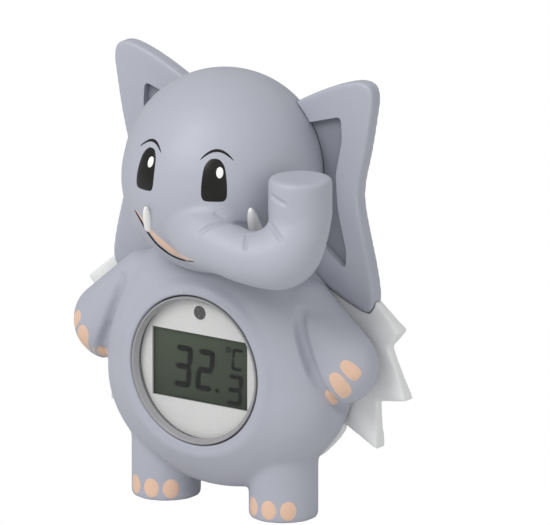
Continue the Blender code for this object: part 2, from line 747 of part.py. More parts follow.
def plate_outline():
    """The splash: an oval under the torso, then three pointed splashes on each side."""
    wide = TORSO_RADII[0] * RIM_SHARE
    tall = TORSO_RADII[2] * RIM_SHARE
    half = []
    for k in range(PLATE_OVAL_STEPS + 1):
        angle = radians(-90 + PLATE_OVAL_TURN * k / PLATE_OVAL_STEPS)
        point = (wide * cos(angle), TORSO_HEIGHT + tall * sin(angle))
        if point[1] < PLATE_NOTCHES[0][1] - PAST:
            half.append(point)
    corners = [PLATE_NOTCHES[0]]
    for tip, notch in zip(PLATE_TIPS, PLATE_NOTCHES[1:]):
        corners += [tip, notch]
    half.append(corners[0])
    for k in range(1, len(corners) - 1):
        radius = PLATE_TIP_ROUND if k % 2 else PLATE_NOTCH_ROUND
        half.extend(rounded(corners[k - 1:k + 2], radius, 3)[4:8])
    half.append(corners[-1])
    half.append((PLATE_TOP_REACH, PLATE_TOP))
    half.append((0.0, PLATE_TOP))
    return half + mirrored(half[1:-1])


def door_screw_places():
    return [(side * DOOR_SCREW_SPACING / 2, DRUM_HEIGHT) for side in (1, -1)]


def plate_hole(name, x, z, radius, steps=SMALL_STEPS):
    """A round hole right through the splash plate."""
    return rod_y(name, x, z, radius, PLATE_FRONT - PAST, PLATE_BACK + PAST, steps)


def rear_housing():
    """The white splash plate with the battery drum on its back."""
    plate = flat_shape("rear_housing", plate_outline(), PLATE_FRONT, PLATE_BACK)
    bevel(plate, PLATE_EDGE, 1, 40)
    for side, name in ((1, "left"), (-1, "right")):
        grown = grow_outline(rounded(EAR_OUTLINE, EAR_ROUND, 2), EAR_GAP)
        if side < 0:
            grown = mirrored(grown)
        cut(plate, flat_shape(f"ear_room_{name}", grown, PLATE_FRONT - PAST, PLATE_BACK + PAST))
    cut_all(plate, head_cutters("plate_seat", FIT_GAP))
    drum = rod_y("drum", 0, DRUM_HEIGHT, DRUM_RADIUS, PLATE_FRONT + PAST, DRUM_BACK, FINE_STEPS)
    bevel(drum, DRUM_ROUND, 2)
    cut(plate, drum, "UNION")
    past_drum = DRUM_BACK + PAST
    room = DOOR_RADIUS + FIT_GAP
    cut(plate, rod_y("door_room", 0, DRUM_HEIGHT, room, DOOR_SEAT, past_drum, FINE_STEPS))
    cut(plate, rod_y("battery_bay", 0, DRUM_HEIGHT, BAY_RADIUS, BAY_FLOOR, past_drum))
    cut(plate, seal_groove())
    groove_end = PLATE_FRONT + GASKET_DEPTH + FIT_GAP
    cut(plate, gasket_band("gasket_groove", FIT_GAP, PLATE_FRONT - PAST, groove_end))
    hole = SCREW_RADIUS + FIT_GAP
    head = SCREW_HEAD_RADIUS + FIT_GAP
    sink = PLATE_BACK - SCREW_HEAD - FIT_GAP
    for number, (x, z) in enumerate(case_places()):
        cut(plate, plate_hole(f"plate_hole_{number}", x, z, hole, HOLE_STEPS))
        cut(plate, rod_y(f"plate_sink_{number}", x, z, head, sink, PLATE_BACK + PAST, SMALL_STEPS))
    deep = DRUM_BACK - SCREW_HEAD - SCREW_LENGTH - FIT_GAP
    for number, (x, z) in enumerate(door_screw_places()):
        cut(plate, rod_y(f"door_hole_{number}", x, z, hole, deep, past_drum, HOLE_STEPS))
    cut(plate, plate_hole("sensor_hole", 0, SENSOR_HEIGHT, SENSOR_RADIUS + FIT_GAP, ROUND_STEPS))
    for number, side in enumerate((1, -1)):
        x = side * PIN_SPACING / 2
        cut(plate, plate_hole(f"pin_hole_{number}", x, SENSOR_HEIGHT, PIN_RADIUS + FIT_GAP))
    finish(plate, WHITE, 30)


def grow_outline(points, gap):
    """An outline moved outwards by a gap, with the points in the order given."""
    count = len(points)
    area = sum(points[i - 1][0] * points[i][1] - points[i][0] * points[i - 1][1] for i in range(count))
    turn = 1 if area > 0 else -1
    grown = []
    for i in range(count):
        before, after = Vector(points[i - 1]), Vector(points[(i + 1) % count])
        along = (after - before).normalized()
        outward = Vector((along.y, -along.x)) * turn
        grown.append(tuple(Vector(points[i]) + outward * gap))
    return grown


def ring_y(name, z, radius, section_width, start, end):
    """A flat ring about the Y direction, by its middle radius and section."""
    outer = rod_y(name, 0, z, radius + section_width / 2, start, end, FINE_STEPS)
    bore = radius - section_width / 2
    inner = rod_y(name + "_bore", 0, z, bore, start - PAST, end + PAST, FINE_STEPS)
    return cut(outer, inner)


def seal_groove():
    width = SEAL_SECTION + 2 * FIT_GAP
    return ring_y("seal_groove", DRUM_HEIGHT, SEAL_RADIUS, width, SEAL_START - FIT_GAP, DOOR_SEAT + FIT_GAP)


def battery_door():
    front = DRUM_BACK - DOOR_THICKNESS
    past = DRUM_BACK + PAST
    door = rod_y("battery_door", 0, DRUM_HEIGHT, DOOR_RADIUS, front, DRUM_BACK, FINE_STEPS)
    hole = SCREW_RADIUS + FIT_GAP
    head = SCREW_HEAD_RADIUS + FIT_GAP
    sink = DRUM_BACK - SCREW_HEAD - FIT_GAP
    for number, (x, z) in enumerate(door_screw_places()):
        cut(door, rod_y(f"lid_hole_{number}", x, z, hole, front - PAST, past - PAST / 2, HOLE_STEPS))
        cut(door, rod_y(f"lid_sink_{number}", x, z, head, sink, past, SMALL_STEPS))
    finish(door, WHITE)


def screw(name, x, z, head_face, length):
    """A pan screw driven forwards, with its head's outer face on a Y plane."""
    under = head_face - SCREW_HEAD
    middle = head_face - SCREW_HEAD / 2
    shank = rod_y(name, x, z, SCREW_RADIUS, under - length, middle, HOLE_STEPS)
    head = rod_y(name + "_head", x, z, SCREW_HEAD_RADIUS, under, head_face, SMALL_STEPS)
    half_z = SCREW_SLOT_WIDTH / 2
    half_x = SCREW_SLOT_LENGTH / 2
    low = (x - half_x, middle, z - half_z)
    high = (x + half_x, head_face + PAST, z + half_z)
    cut(shank, head, "UNION")
    cut(shank, block(name + "_slot", low, high))
    return shank


def screw_set(name, places, head_face, length):
    """Like screws, each its own part."""
    for number, (x, z) in enumerate(places, start=1):
        finish(screw(f"{name}_{number}", x, z, head_face, length), STEEL)


def bezel_ring():
    """The silver ring round the display, with a flange behind the torso's boss."""
    height = WINDOW_HEIGHT
    ring = rod_y("bezel_ring", 0, height, BEZEL_RADIUS, WINDOW_FACE, BEZEL_END, FINE_STEPS)
    wide = WINDOW_RADIUS + BOSS_WALL
    start = BEZEL_END - BEZEL_FLANGE
    cut(ring, rod_y("bezel_flange", 0, height, wide, start, BEZEL_END, FINE_STEPS), "UNION")
    ledge = WINDOW_FACE + RIM_DEPTH
    cut(ring, rod_y("bezel_throat", 0, height, BEZEL_THROAT, WINDOW_FACE - PAST, BEZEL_END, FINE_STEPS))
    cut(ring, rod_y("bezel_pocket", 0, height, POCKET_RADIUS, ledge, BEZEL_END + PAST, FINE_STEPS))
    finish(ring, SILVER)


def bezel_seal():
    middle = WINDOW_RADIUS + BOSS_WALL / 2
    start = BOSS_END + FIT_GAP
    end = BEZEL_END - BEZEL_FLANGE - FIT_GAP
    finish(ring_y("bezel_seal", WINDOW_HEIGHT, middle, BOSS_WALL - 2 * FIT_GAP, start, end), RUBBER)


def disc(name, front, thickness, material=None):
    made = rod_y(name, 0, WINDOW_HEIGHT, STACK_RADIUS, front, front + thickness, FINE_STEPS)
    return finish(made, material) if material else made


def display_stack():
    """Lens, dial, display glass, lamp window and carrier, from front to back."""
    disc("window_lens", LENS_FRONT, LENS_THICKNESS, CLEAR)
    dial = disc("dial_plate", DIAL_FRONT, DIAL_THICKNESS)
    half_w, half_h = DISPLAY_WIDTH / 2, DISPLAY_HEIGHT / 2
    past_dial = DIAL_FRONT + DIAL_THICKNESS + PAST
    low = (-half_w, DIAL_FRONT - PAST, WINDOW_HEIGHT - half_h)
    high = (half_w, past_dial, WINDOW_HEIGHT + half_h)
    cut(dial, block("dial_window", low, high))
    lamp_room = LAMP_RADIUS + FIT_GAP
    cut(dial, rod_y("dial_lamp_hole", 0, LAMP_HEIGHT, lamp_room, DIAL_FRONT - PAST, past_dial))
    finish(dial, DIAL_WHITE)
    low = (-half_w - CELL_MARGIN, GLASS_FRONT, WINDOW_HEIGHT - half_h - CELL_MARGIN)
    high = (half_w + CELL_MARGIN, GLASS_FRONT + GLASS_THICKNESS, WINDOW_HEIGHT + half_h + CELL_MARGIN)
    finish(block("display_glass", low, high), GLASS_GREEN)
    carrier_end = CARRIER_FRONT + CARRIER_THICKNESS
    lamp_end = carrier_end - LED_HEIGHT
    finish(rod_y("lamp_window", 0, LAMP_HEIGHT, LAMP_RADIUS, DIAL_FRONT, lamp_end), LAMP_DARK)
    carrier = disc("display_carrier", CARRIER_FRONT, CARRIER_THICKNESS)
    open_w = half_w - CARRIER_MARGIN
    open_h = half_h - CARRIER_MARGIN
    before = CARRIER_FRONT - PAST
    past_carrier = carrier_end + PAST
    low = (-open_w, before, WINDOW_HEIGHT - open_h)
    high = (open_w, past_carrier, WINDOW_HEIGHT + open_h)
    cut(carrier, block("carrier_window", low, high))
    cut(carrier, rod_y("carrier_lamp_hole", 0, LAMP_HEIGHT, lamp_room, before, past_carrier))
    finish(carrier, WHITE)


def contact_strip():
    """The rubber strip that joins the display glass to the board."""
    half_w = DISPLAY_WIDTH / 2 - CARRIER_MARGIN - FIT_GAP
    bottom = WINDOW_HEIGHT - DISPLAY_HEIGHT / 2 + CARRIER_MARGIN + FIT_GAP
    low = (-half_w, CARRIER_FRONT, bottom)
    high = (half_w, BOARD_FRONT - FIT_GAP, bottom + STRIP_THICKNESS)
    finish(block("contact_strip", low, high), RUBBER)


def circuit_board():
    half = BOARD_WIDTH / 2
    corners = [(-half, BOARD_BOTTOM), (half, BOARD_BOTTOM), (half, BOARD_TOP), (-half, BOARD_TOP)]
    outline = rounded(corners, BOARD_CORNER, 3)
    board = flat_shape("circuit_board", outline, BOARD_FRONT, BOARD_BACK)
    hole = SCREW_RADIUS + FIT_GAP
    start = BOARD_FRONT - PAST
    end = BOARD_BACK + PAST
    for number, (x, z) in enumerate(post_places()):
        cut(board, rod_y(f"circuit_hole_{number}", x, z, hole, start, end, HOLE_STEPS))
    finish(board, BOARD_GREEN)


def board_parts():
    """The covered chip, the buzzer and the lamp on the board, and its four screws."""
    seat = BOARD_BACK + FIT_GAP
    x, rise = CHIP_SHIFT
    chip = rod_y("chip_cover", x, WINDOW_HEIGHT + rise, CHIP_RADIUS, seat, seat + CHIP_HEIGHT)
    bevel(chip, CHIP_ROUND, 2)
    finish(chip, BLACK)
    x, rise = BUZZER_SHIFT
    z = WINDOW_HEIGHT + rise
    top = seat + BUZZER_HEIGHT
    buzzer = rod_y("buzzer", x, z, BUZZER_RADIUS, seat, top)
    cut(buzzer, rod_y("buzzer_port", x, z, BUZZER_PORT, seat + BUZZER_HEIGHT / 2, top + PAST, HOLE_STEPS))
    finish(buzzer, BLACK)
    half = LED_SIZE / 2
    base = BOARD_FRONT - FIT_GAP
    low = (-half, base + FIT_GAP - LED_HEIGHT, LAMP_HEIGHT - half)
    high = (half, base, LAMP_HEIGHT + half)
    finish(block("indicator_led", low, high), IVORY)
    screw_set("board_screw", post_places(), seat + SCREW_HEAD, SCREW_LENGTH)


def battery_parts():
    """The coin cell between its two spring contacts."""
    negative_start = BAY_FLOOR + FIT_GAP
    cell_start = negative_start + CONTACT_THICKNESS + FIT_GAP
    cell_end = cell_start + CELL_THICKNESS
    across = CONTACT_WIDTH / 2
    along = CONTACT_LENGTH / 2
    low = (-along, negative_start, DRUM_HEIGHT - across)
    high = (along, negative_start + CONTACT_THICKNESS, DRUM_HEIGHT + across)
    finish(block("contact_negative", low, high), STEEL)
    cell = rod_y("coin_cell", 0, DRUM_HEIGHT, CELL_RADIUS, cell_start, cell_end)
    bevel(cell, CELL_ROUND, 2)
    finish(cell, STEEL)
    positive_start = cell_end + FIT_GAP
    low = (-across, positive_start, DRUM_HEIGHT - along)
    high = (across, positive_start + CONTACT_THICKNESS, DRUM_HEIGHT + along)
    finish(block("contact_positive", low, high), STEEL)


def sensor_parts():
    """The steel cap in the bath water, its bead, and the two pins that wake the display."""
    inside = PLATE_FRONT - FIT_GAP
    tip = PLATE_BACK + SENSOR_REACH
    start = inside - SENSOR_SKIN
    cap = rod_y("sensor_cap", 0, SENSOR_HEIGHT, SENSOR_RADIUS, start, tip)
    cut(cap, rod_y("sensor_flange", 0, SENSOR_HEIGHT, SENSOR_FLANGE, start, inside), "UNION")
    bore = SENSOR_RADIUS - SENSOR_SKIN
    cut(cap, rod_y("sensor_bore", 0, SENSOR_HEIGHT, bore, start - PAST, tip - SENSOR_SKIN))
    finish(cap, STEEL)
    bead_y = tip - SENSOR_SKIN - BEAD_RADIUS - FIT_GAP
    bead = ball("temperature_bead", (0, bead_y, SENSOR_HEIGHT), BEAD_RADIUS, HOLE_STEPS)
    finish(bead, BLACK)
    outer = PLATE_BACK + FIT_GAP
    for side, name in ((1, "left"), (-1, "right")):
        x = side * PIN_SPACING / 2
        start = inside - PIN_HEAD
        pin = rod_y(f"water_pin_{name}", x, SENSOR_HEIGHT, PIN_RADIUS, start, PLATE_BACK + PIN_HEAD)
        head = rod_y(f"pin_head_{name}", x, SENSOR_HEIGHT, PIN_HEAD_RADIUS, outer, outer + PIN_HEAD)
        cut(pin, head, "UNION")
        finish(pin, STEEL)


def neck_clip():
    """The open ring that snaps into the spigot's groove under the seat."""
    inner = SPIGOT_RADIUS - CLIP_GROOVE + FIT_GAP
    outer = SPIGOT_RADIUS + CLIP_WIDTH
    top = CLIP_HEIGHT + CLIP_THICKNESS
    clip = rod_z("neck_clip", 0, SPIGOT_SETBACK, outer, CLIP_HEIGHT, top)
    cut(clip, rod_z("clip_bore", 0, SPIGOT_SETBACK, inner, CLIP_HEIGHT - PAST, top + PAST))
    half = CLIP_MOUTH / 2
    low = (0, SPIGOT_SETBACK - half, CLIP_HEIGHT - PAST)
    high = (2 * outer, SPIGOT_SETBACK + half, top + PAST)
    cut(clip, block("clip_mouth", low, high))
    finish(clip, STEEL)


def build():
    torso_shell()
    head_shell()
    for side, name in ((1, "left"), (-1, "right")):
        ear(f"ear_{name}", side)
        eye(f"eye_{name}", FACE_TURN + side * EYE_SPREAD)
    finish(spike("tusk_left", *TUSK_LEFT, 0.0), IVORY)
    finish(spike("tusk_right", *TUSK_RIGHT, 0.0), IVORY)
    finish(mouth_bar("mouth_lip", 0.0), PEACH)
    rear_housing()
    finish(gasket_band("case_gasket", 0.0, PLATE_FRONT, PLATE_FRONT + GASKET_DEPTH), RUBBER)
    battery_door()
    seal = ring_y("door_seal", DRUM_HEIGHT, SEAL_RADIUS, SEAL_SECTION, SEAL_START, DOOR_SEAT)
    finish(seal, RUBBER)
    screw_set("door_screw", door_screw_places(), DRUM_BACK, SCREW_LENGTH)
    screw_set("case_screw", case_places(), PLATE_BACK, CASE_SCREW_LENGTH)
    bezel_ring()
    bezel_seal()
    display_stack()
    contact_strip()
    circuit_board()
    board_parts()
    battery_parts()
    sensor_parts()
    neck_clip()


build()
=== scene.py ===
"""Looks of the baby bath thermometer: a soft grey elephant with a round display in its tummy.

Pieces are shaped in millimetres about the figure's own upright axis, with the face towards -Y
and the figure's left towards +X. Each finished piece is then put into the frame's metres.
"""
from math import cos, degrees, pi, radians, sin, sqrt, tau

import bmesh
import bpy
from mathutils import Matrix, Vector
from mathutils.bvhtree import BVHTree
from mathutils.kdtree import KDTree


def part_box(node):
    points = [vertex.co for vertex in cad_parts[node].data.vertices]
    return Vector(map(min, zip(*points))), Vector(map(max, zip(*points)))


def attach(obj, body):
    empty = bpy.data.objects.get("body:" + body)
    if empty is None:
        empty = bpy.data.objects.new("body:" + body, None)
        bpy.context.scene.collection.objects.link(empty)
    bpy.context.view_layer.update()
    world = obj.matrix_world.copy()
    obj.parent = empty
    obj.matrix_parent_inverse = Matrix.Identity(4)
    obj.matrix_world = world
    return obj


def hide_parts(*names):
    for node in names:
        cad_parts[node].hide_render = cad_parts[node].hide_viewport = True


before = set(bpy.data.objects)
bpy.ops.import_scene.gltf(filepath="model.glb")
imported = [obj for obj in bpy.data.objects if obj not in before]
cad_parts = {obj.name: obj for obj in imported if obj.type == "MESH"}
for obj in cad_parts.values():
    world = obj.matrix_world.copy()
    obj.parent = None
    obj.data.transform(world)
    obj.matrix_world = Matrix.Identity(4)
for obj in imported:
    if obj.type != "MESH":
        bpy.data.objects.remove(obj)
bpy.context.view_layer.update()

# The splash plate's front face is the plane that the whole figure is measured from
PLATE_FRONT = 7.6
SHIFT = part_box("rear_housing")[0][1] * 1000 - PLATE_FRONT
TO_WORLD = Matrix.Scale(0.001, 4) @ Matrix.Translation((0, SHIFT, 0))

# Head and trunk: trunk knots are x, y, z and radius
HEAD = Vector((0, 0, 85.8))
HEAD_RADIUS = 25.0
JAW = Vector((0, -2.2, 84.2))
JAW_RADIUS = 24.2
HEAD_SKIN = 0.50
HEAD_PASSES = 34
TRUNK = (
    (2.0, -15.0, 77.1, 9.0), (10.0, -22.0, 74.6, 7.8), (17.2, -23.9, 73.2, 6.7), (25.2, -23.5, 71.8, 6.7),
    (31.9, -20.0, 73.1, 8.3), (34.4, -17.0, 79.7, 7.4), (33.9, -16.0, 84.0, 7.7),
)
MUZZLE = (((4.0, -14.0, 80.0), 11.0), ((6.0, -14.5, 81.0), 10.6), ((8.5, -17.0, 77.5), 9.3))
TRUNK_END = 92.2
TRUNK_END_RADIUS = 7.9

# Face, as bearing from straight ahead and rise, in degrees
FACE_TURN = 7.65
EYE_SPREAD = 21.65
EYE_RISES = {"left": 8.1, "right": 9.6}
EYE_SIZE = (6.5, 10.7)
EYE_LIFT = 0.35
GLINT_PLACE = (1.35, 1.95)
GLINT_SIZE = (1.9, 3.0)
GLINT_LIFT = 0.10
BROW_SPREAD = 22.95
BROW_HALF_SPAN = 9.8
BROW_RISES = {"left": (19.2, 24.8), "right": (20.2, 25.6)}
BROW_WIDTH = 0.86
BROW_LIFT = 0.16
TUSK_LEFT = ((19.2, -13.5, 74.7), (21.0, -18.9, 83.0), 1.75)
TUSK_RIGHT = ((-6.6, -22.9, 75.2), (-4.6, -27.2, 81.2), 1.25)

# Mouth, trunk folds, hand nails and arm marks as seen from the main view, in its own plane.
# A mark that is pressed into the skin also gives its width and depth.
SMILE = (
    (-22.0, 72.3), (-20.5, 69.6), (-19.0, 67.0), (-16.5, 63.8), (-13.4, 61.4), (-10.4, 60.1), (-7.6, 59.7),
)
SMILE_HALF = 0.33
LIP = (
    (-21.7, 72.4), (-19.9, 69.9), (-18.0, 67.6), (-15.3, 65.2), (-12.3, 62.7), (-10.0, 61.1), (-7.6, 60.0),
)
CHIN = ((-22.6, 70.6), (-20.2, 66.0), (-17.4, 62.3), (-14.6, 60.2), (-12.0, 59.0))
MOUTH_GROOVE = (1.0, 0.45)
CHIN_RIDGE = (1.6, -0.50)
FINE_WIDTH = 1.2
CREASES = (
    (((-6.8, 66.0), (-4.8, 67.7), (-2.6, 68.8), (0.3, 69.4), (3.2, 69.0), (5.8, 68.2)), 1.1, 0.75),
    (((-2.6, 71.8), (-1.2, 71.0), (0.3, 70.6)), 0.9, 0.40),
    (((5.8, 66.5), (5.2, 64.5), (5.0, 62.4)), 0.9, 0.55),
    (((10.9, 69.2), (12.4, 67.0), (14.1, 64.6)), 0.9, 0.55),
    (((11.3, 76.0), (13.1, 74.5), (15.3, 73.5)), 0.9, 0.55),
)
HAND_NAILS = ((30.9, 33.1, 3.6, 6.0, 48.0), (28.3, 29.4, 3.8, 7.2, 36.0), (26.2, 26.3, 2.0, 4.2, 38.0))
ARM_FOLD = (
    (33.2, 23.6), (31.0, 23.4), (28.9, 24.1), (25.7, 26.3), (23.5, 29.2), (21.4, 33.8), (20.0, 37.9),
    (18.9, 42.3), (18.7, 45.9), (19.2, 48.8),
)
ARM_FOLD_PRESS = (2.1, 1.6)
ARM_EDGE = ((30.0, 27.0), (27.8, 30.2), (25.6, 34.5), (24.2, 38.5), (23.0, 42.5), (22.6, 46.5))
ARM_EDGE_PRESS = (6.0, -0.4)

# Ears
EAR_OUTLINE = (
    (12.0, 98.5), (15.2, 102.9), (24.1, 107.7), (31.5, 110.5), (35.6, 111.1), (38.2, 109.8), (38.8, 106.5),
    (38.1, 101.5), (36.6, 93.2), (34.8, 85.5), (34.5, 80.0), (36.2, 72.0), (38.4, 63.0), (39.2, 57.0),
    (38.4, 53.9), (35.4, 53.1), (23.0, 58.8), (15.0, 66.0),
)
EAR_PANEL = (
    (16.0, 97.6), (29.5, 101.7), (29.9, 95.8), (28.0, 86.7), (28.6, 77.9), (31.2, 67.6), (31.0, 63.0),
    (20.0, 71.0),
)
EAR_PANEL_MIDDLE = (25.0, 84.0)
PANEL_ROUND = 1.6
INLAY_GAP = 0.12
EAR_THICKNESS = 4.1
EAR_DEPTH = 2.1
EAR_SKIN = 0.42
EAR_PASSES = 11
EAR_HEAD_GAP = 0.20
INLAY_THICKNESS = 0.28
INLAY_LIFT = 0.02

# Torso, arms and legs
TORSO = Vector((0, 3.0, 37.3))
TORSO_RADII = (35.0, 20.0, 32.0)
BELLY = Vector((0, -0.5, 31.6))
BELLY_RADII = (33.0, 16.4, 26.4)
SHOULDER = (Vector((23.8, 0.5, 53.7)), Vector((7.6, 6.8, 7.6)))
HAND = (Vector((35.0, 0.5, 41.2)), Vector((9.8, 7.5, 9.8)))
ARM_STEPS = 12
LEG_X = 17.7
LEG_RADIUS = 8.6
LEG_TOP = 22.0
BODY_SKIN = 0.60
BODY_PASSES = 12
BODY_WALL = 2.4
BODY_BACK = PLATE_FRONT - 0.3
BODY_HEAD_GAP = 0.25
HOLLOW_FRONT = -10.2
FOOT_NAILS = (-27.0, 9.0, 43.0)
FOOT_NAIL_Z = 3.2
FOOT_NAIL_SIZE = (4.2, 5.0)
NAIL_LIFT = 0.22
NAIL_DEPTH = 0.6

# Splash plate and battery drum
PLATE_THICKNESS = 4.0
PLATE_TIPS = ((40.2, 18.4), (48.72, 32.0), (47.0, 49.2))
PLATE_NOTCHES = ((28.4, 23.8), (39.6, 30.5), (43.0, 44.7), (40.0, 55.3))
PLATE_TOP = ((23.0, 64.0), (0.0, 64.0))
PLATE_SKIN = 0.50
PLATE_PASSES = 6
PLATE_HEAD_GAP = 0.30
PLATE_EAR_GAP = 0.35
EAR_MIDDLE = (27.0, 80.0)
RIDGE_HUB = Vector((22.0, 42.0))
RIDGE_HALF = 5.5
RIDGE_START = 0.35
RIDGE_GROWTH = 0.40
RIDGE_FRONT = 0.9
RIDGE_BACK = 0.5
DRUM_Z = 40.0
DRUM_RADIUS = 19.0
DRUM_BACK = 18.6
DOOR_RADIUS = 16.6
DOOR_FRONT = 16.6
DOOR_SCREW_X = 13.8
SCREW_SINK = (2.1, 1.4)
SCREW_RADIUS = 1.8
SCREW_SLOT = (2.0, 0.42)
CASE_SCREWS = ((16.0, 17.5), (16.0, 57.0))
SENSOR_Z = 17.5
PIN_X = 9.5

# Window and display
WINDOW_Z = 37.0
WINDOW_RADIUS = 19.0
WINDOW_FACE = -13.4
WINDOW_BORDER = 0.8
WINDOW_BLEND = 3.5
WINDOW_SEAT = -9.2
FRONT_LIMIT = -9.0
RING_RADIUS = 18.7
RING_THROAT = 17.4
RING_RIM = 18.25
LENS_FRONT = -11.8
LENS_RADIUS = 17.75
DIAL_FRONT = -10.7
DISPLAY_FRONT = -9.9
DISPLAY_HALF = (14.3, 8.7)
DISPLAY_GLASS_HALF = (15.0, 9.4)
LAMP_Z = 51.2
LAMP_RADIUS = 1.65

# Reading: name, sign, left, low, width, height and weight of each figure
FIGURES = (
    ("digit_tens", "3", -8.7, 31.2, 5.3, 10.7, 1.45),
    ("digit_ones", "2", -2.0, 31.2, 5.3, 10.7, 1.45),
    ("digit_tenths", "3", 7.3, 28.8, 4.7, 8.1, 1.25),
    ("degree_letter", "C", 8.9, 37.9, 3.5, 5.7, 0.85),
)
FIGURE_LEAN = 0.085
INK_FRONT = DISPLAY_FRONT - 0.10
INK_BACK = DISPLAY_FRONT - 0.02
BARS = {"3": "abcdg", "2": "abdeg", "C": "adef"}

# Camera and light
VIEW_TURN = 35.0
VIEW_RISE = 15.3
VIEW_TARGET = Vector((14.97, 0.23, 63.96))
VIEW_WIDTH = 135.3
VIEW_LENS = 1500.0
VIEW_SENSOR = 36.0
VIEW_TOWARD = Vector((
    sin(radians(VIEW_TURN)) * cos(radians(VIEW_RISE)), -cos(radians(VIEW_TURN)) * cos(radians(VIEW_RISE)),
    sin(radians(VIEW_RISE)),
))
VIEW_RIGHT = Vector((cos(radians(VIEW_TURN)), sin(radians(VIEW_TURN)), 0))
VIEW_UP = VIEW_TOWARD.cross(VIEW_RIGHT)


# Shapes

DOME_SHARES = (1.0, 0.96, 0.88, 0.72, 0.48, 0.22)
INLAY_SINK = 0.04


def orb(centre, radii, turn=0.0, steps=48):
    """A ball or egg, turned about the upright."""
    shape = bmesh.new()
    bmesh.ops.create_uvsphere(shape, u_segments=steps, v_segments=steps // 2, radius=1)
    bmesh.ops.scale(shape, vec=radii, verts=shape.verts)
    bmesh.ops.rotate(shape, matrix=Matrix.Rotation(radians(turn), 3, "Z"), verts=shape.verts)
    bmesh.ops.translate(shape, vec=centre, verts=shape.verts)
    return shape


def post(x, y, radius, low, high, steps=64):
    """An upright round bar."""
    shape = bmesh.new()
    bmesh.ops.create_cone(
        shape, cap_ends=True, segments=steps, radius1=radius, radius2=radius, depth=high - low,
    )
    bmesh.ops.translate(shape, vec=(x, y, (low + high) / 2), verts=shape.verts)
    return shape


def between(p, q, r, s, t):
    """A smooth step from q to r at the share t, led by their neighbours p and s."""
    return 0.5 * (
        2 * q + (r - p) * t + (2 * p - 5 * q + 4 * r - s) * t * t + (3 * q - p - 3 * r + s) * t ** 3
    )


def curved(knots, steps, closed=False):
    """Points of a smooth line through the knots, with as many numbers in each as a knot has."""
    count = len(knots)
    found = []
    for i in range(count if closed else count - 1):
        around = [i - 1, i, i + 1, i + 2]
        if closed:
            around = [k % count for k in around]
        else:
            around = [min(max(k, 0), count - 1) for k in around]
        a, b, c, d = (knots[k] for k in around)
        for step in range(steps):
            t = step / steps
            found.append(tuple(between(p, q, r, s, t) for p, q, r, s in zip(a, b, c, d)))
    if not closed:
        found.append(tuple(knots[-1]))
    return found


def limb(knots, steps=10):
    """Overlapping balls along a curved line, which melt into one limb."""
    return [orb((x, y, z), (r, r, r), steps=28) for x, y, z, r in curved(knots, steps)]


def turned(profile, steps=96, centre=(0, 0, 0)):
    """A closed body of revolution about the Y direction from (radius, y) corners."""
    shape = bmesh.new()
    corners = [shape.verts.new((radius, y, 0)) for radius, y in profile]
    loop = corners + [corners[0]] if profile[0][0] > 0 else corners
    edges = [shape.edges.new(pair) for pair in zip(loop, loop[1:])]
    bmesh.ops.spin(
        shape, geom=corners + edges, cent=(0, 0, 0), axis=(0, 1, 0), angle=tau, steps=steps,
        use_merge=True,
    )
    bmesh.ops.remove_doubles(shape, verts=shape.verts, dist=1e-4)
    bmesh.ops.recalc_face_normals(shape, faces=shape.faces)
    bmesh.ops.translate(shape, vec=centre, verts=shape.verts)
    return shape


def slab(outline, front, back):
    """A flat plate between two Y planes from an outline of (x, z) points."""
    shape = bmesh.new()
    corners = [shape.verts.new((x, front, z)) for x, z in outline]
    face = shape.faces.new(corners)
    grown = bmesh.ops.extrude_face_region(shape, geom=[face])
    moved = [item for item in grown["geom"] if isinstance(item, bmesh.types.BMVert)]
    bmesh.ops.translate(shape, vec=(0, back - front, 0), verts=moved)
    bmesh.ops.recalc_face_normals(shape, faces=shape.faces)
    return shape


def loose_object(name, shape):
    """A helper object, for a modifier to work on."""
    mesh = bpy.data.meshes.new(name)
    shape.to_mesh(mesh)
    shape.free()
    made = bpy.data.objects.new(name, mesh)
    bpy.context.scene.collection.objects.link(made)
    return made


def settled(made, *helpers):
    """The shape of an object after its modifiers; the object and its helpers go."""
    depsgraph = bpy.context.evaluated_depsgraph_get()
    mesh = bpy.data.meshes.new_from_object(made.evaluated_get(depsgraph))
    shape = bmesh.new()
    shape.from_mesh(mesh)
    bpy.data.meshes.remove(mesh)
    for old in (made, *helpers):
        bpy.data.objects.remove(old, do_unlink=True)
    return shape


def melt(name, forms, voxel, passes):
    """Melts overlapping closed forms into one soft skin."""
    joined = bmesh.new()
    for form in forms:
        mesh = bpy.data.meshes.new(name)
        form.to_mesh(mesh)
        form.free()
        joined.from_mesh(mesh)
        bpy.data.meshes.remove(mesh)
    made = loose_object(name, joined)
    remesh = made.modifiers.new("melt", "REMESH")
    remesh.mode = "VOXEL"
    remesh.voxel_size = voxel
    soften = made.modifiers.new("soften", "SMOOTH")
    soften.factor = 0.5
    soften.iterations = passes
    shape = settled(made)
    shape.normal_update()
    return shape


def carved(name, shape, tool, operation="DIFFERENCE"):
    """The shape with a tool cut away, kept or joined."""
    body = loose_object(name, shape)
    cutter = loose_object(name + "_tool", tool)
    step = body.modifiers.new("carve", "BOOLEAN")
    step.operation = operation
    step.solver = "EXACT"
    step.object = cutter
    return settled(body, cutter)


def press(shape, line, width, depth, fade=True):
    """Pushes a skin in along a line of points, or out for a negative depth."""
    tree = KDTree(len(line))
    for index, point in enumerate(line):
        tree.insert(point, index)
    tree.balance()
    last = len(line) - 1
    shape.normal_update()
    moves = []
    for vertex in shape.verts:
        _, index, distance = tree.find(vertex.co)
        if distance < width:
            fall = (1 - (distance / width) ** 2) ** 2
            if fade:
                fall *= sqrt(max(0.0, sin(pi * index / last)))
            moves.append((vertex, vertex.normal * (-depth * fall)))
    for vertex, move in moves:
        vertex.co += move


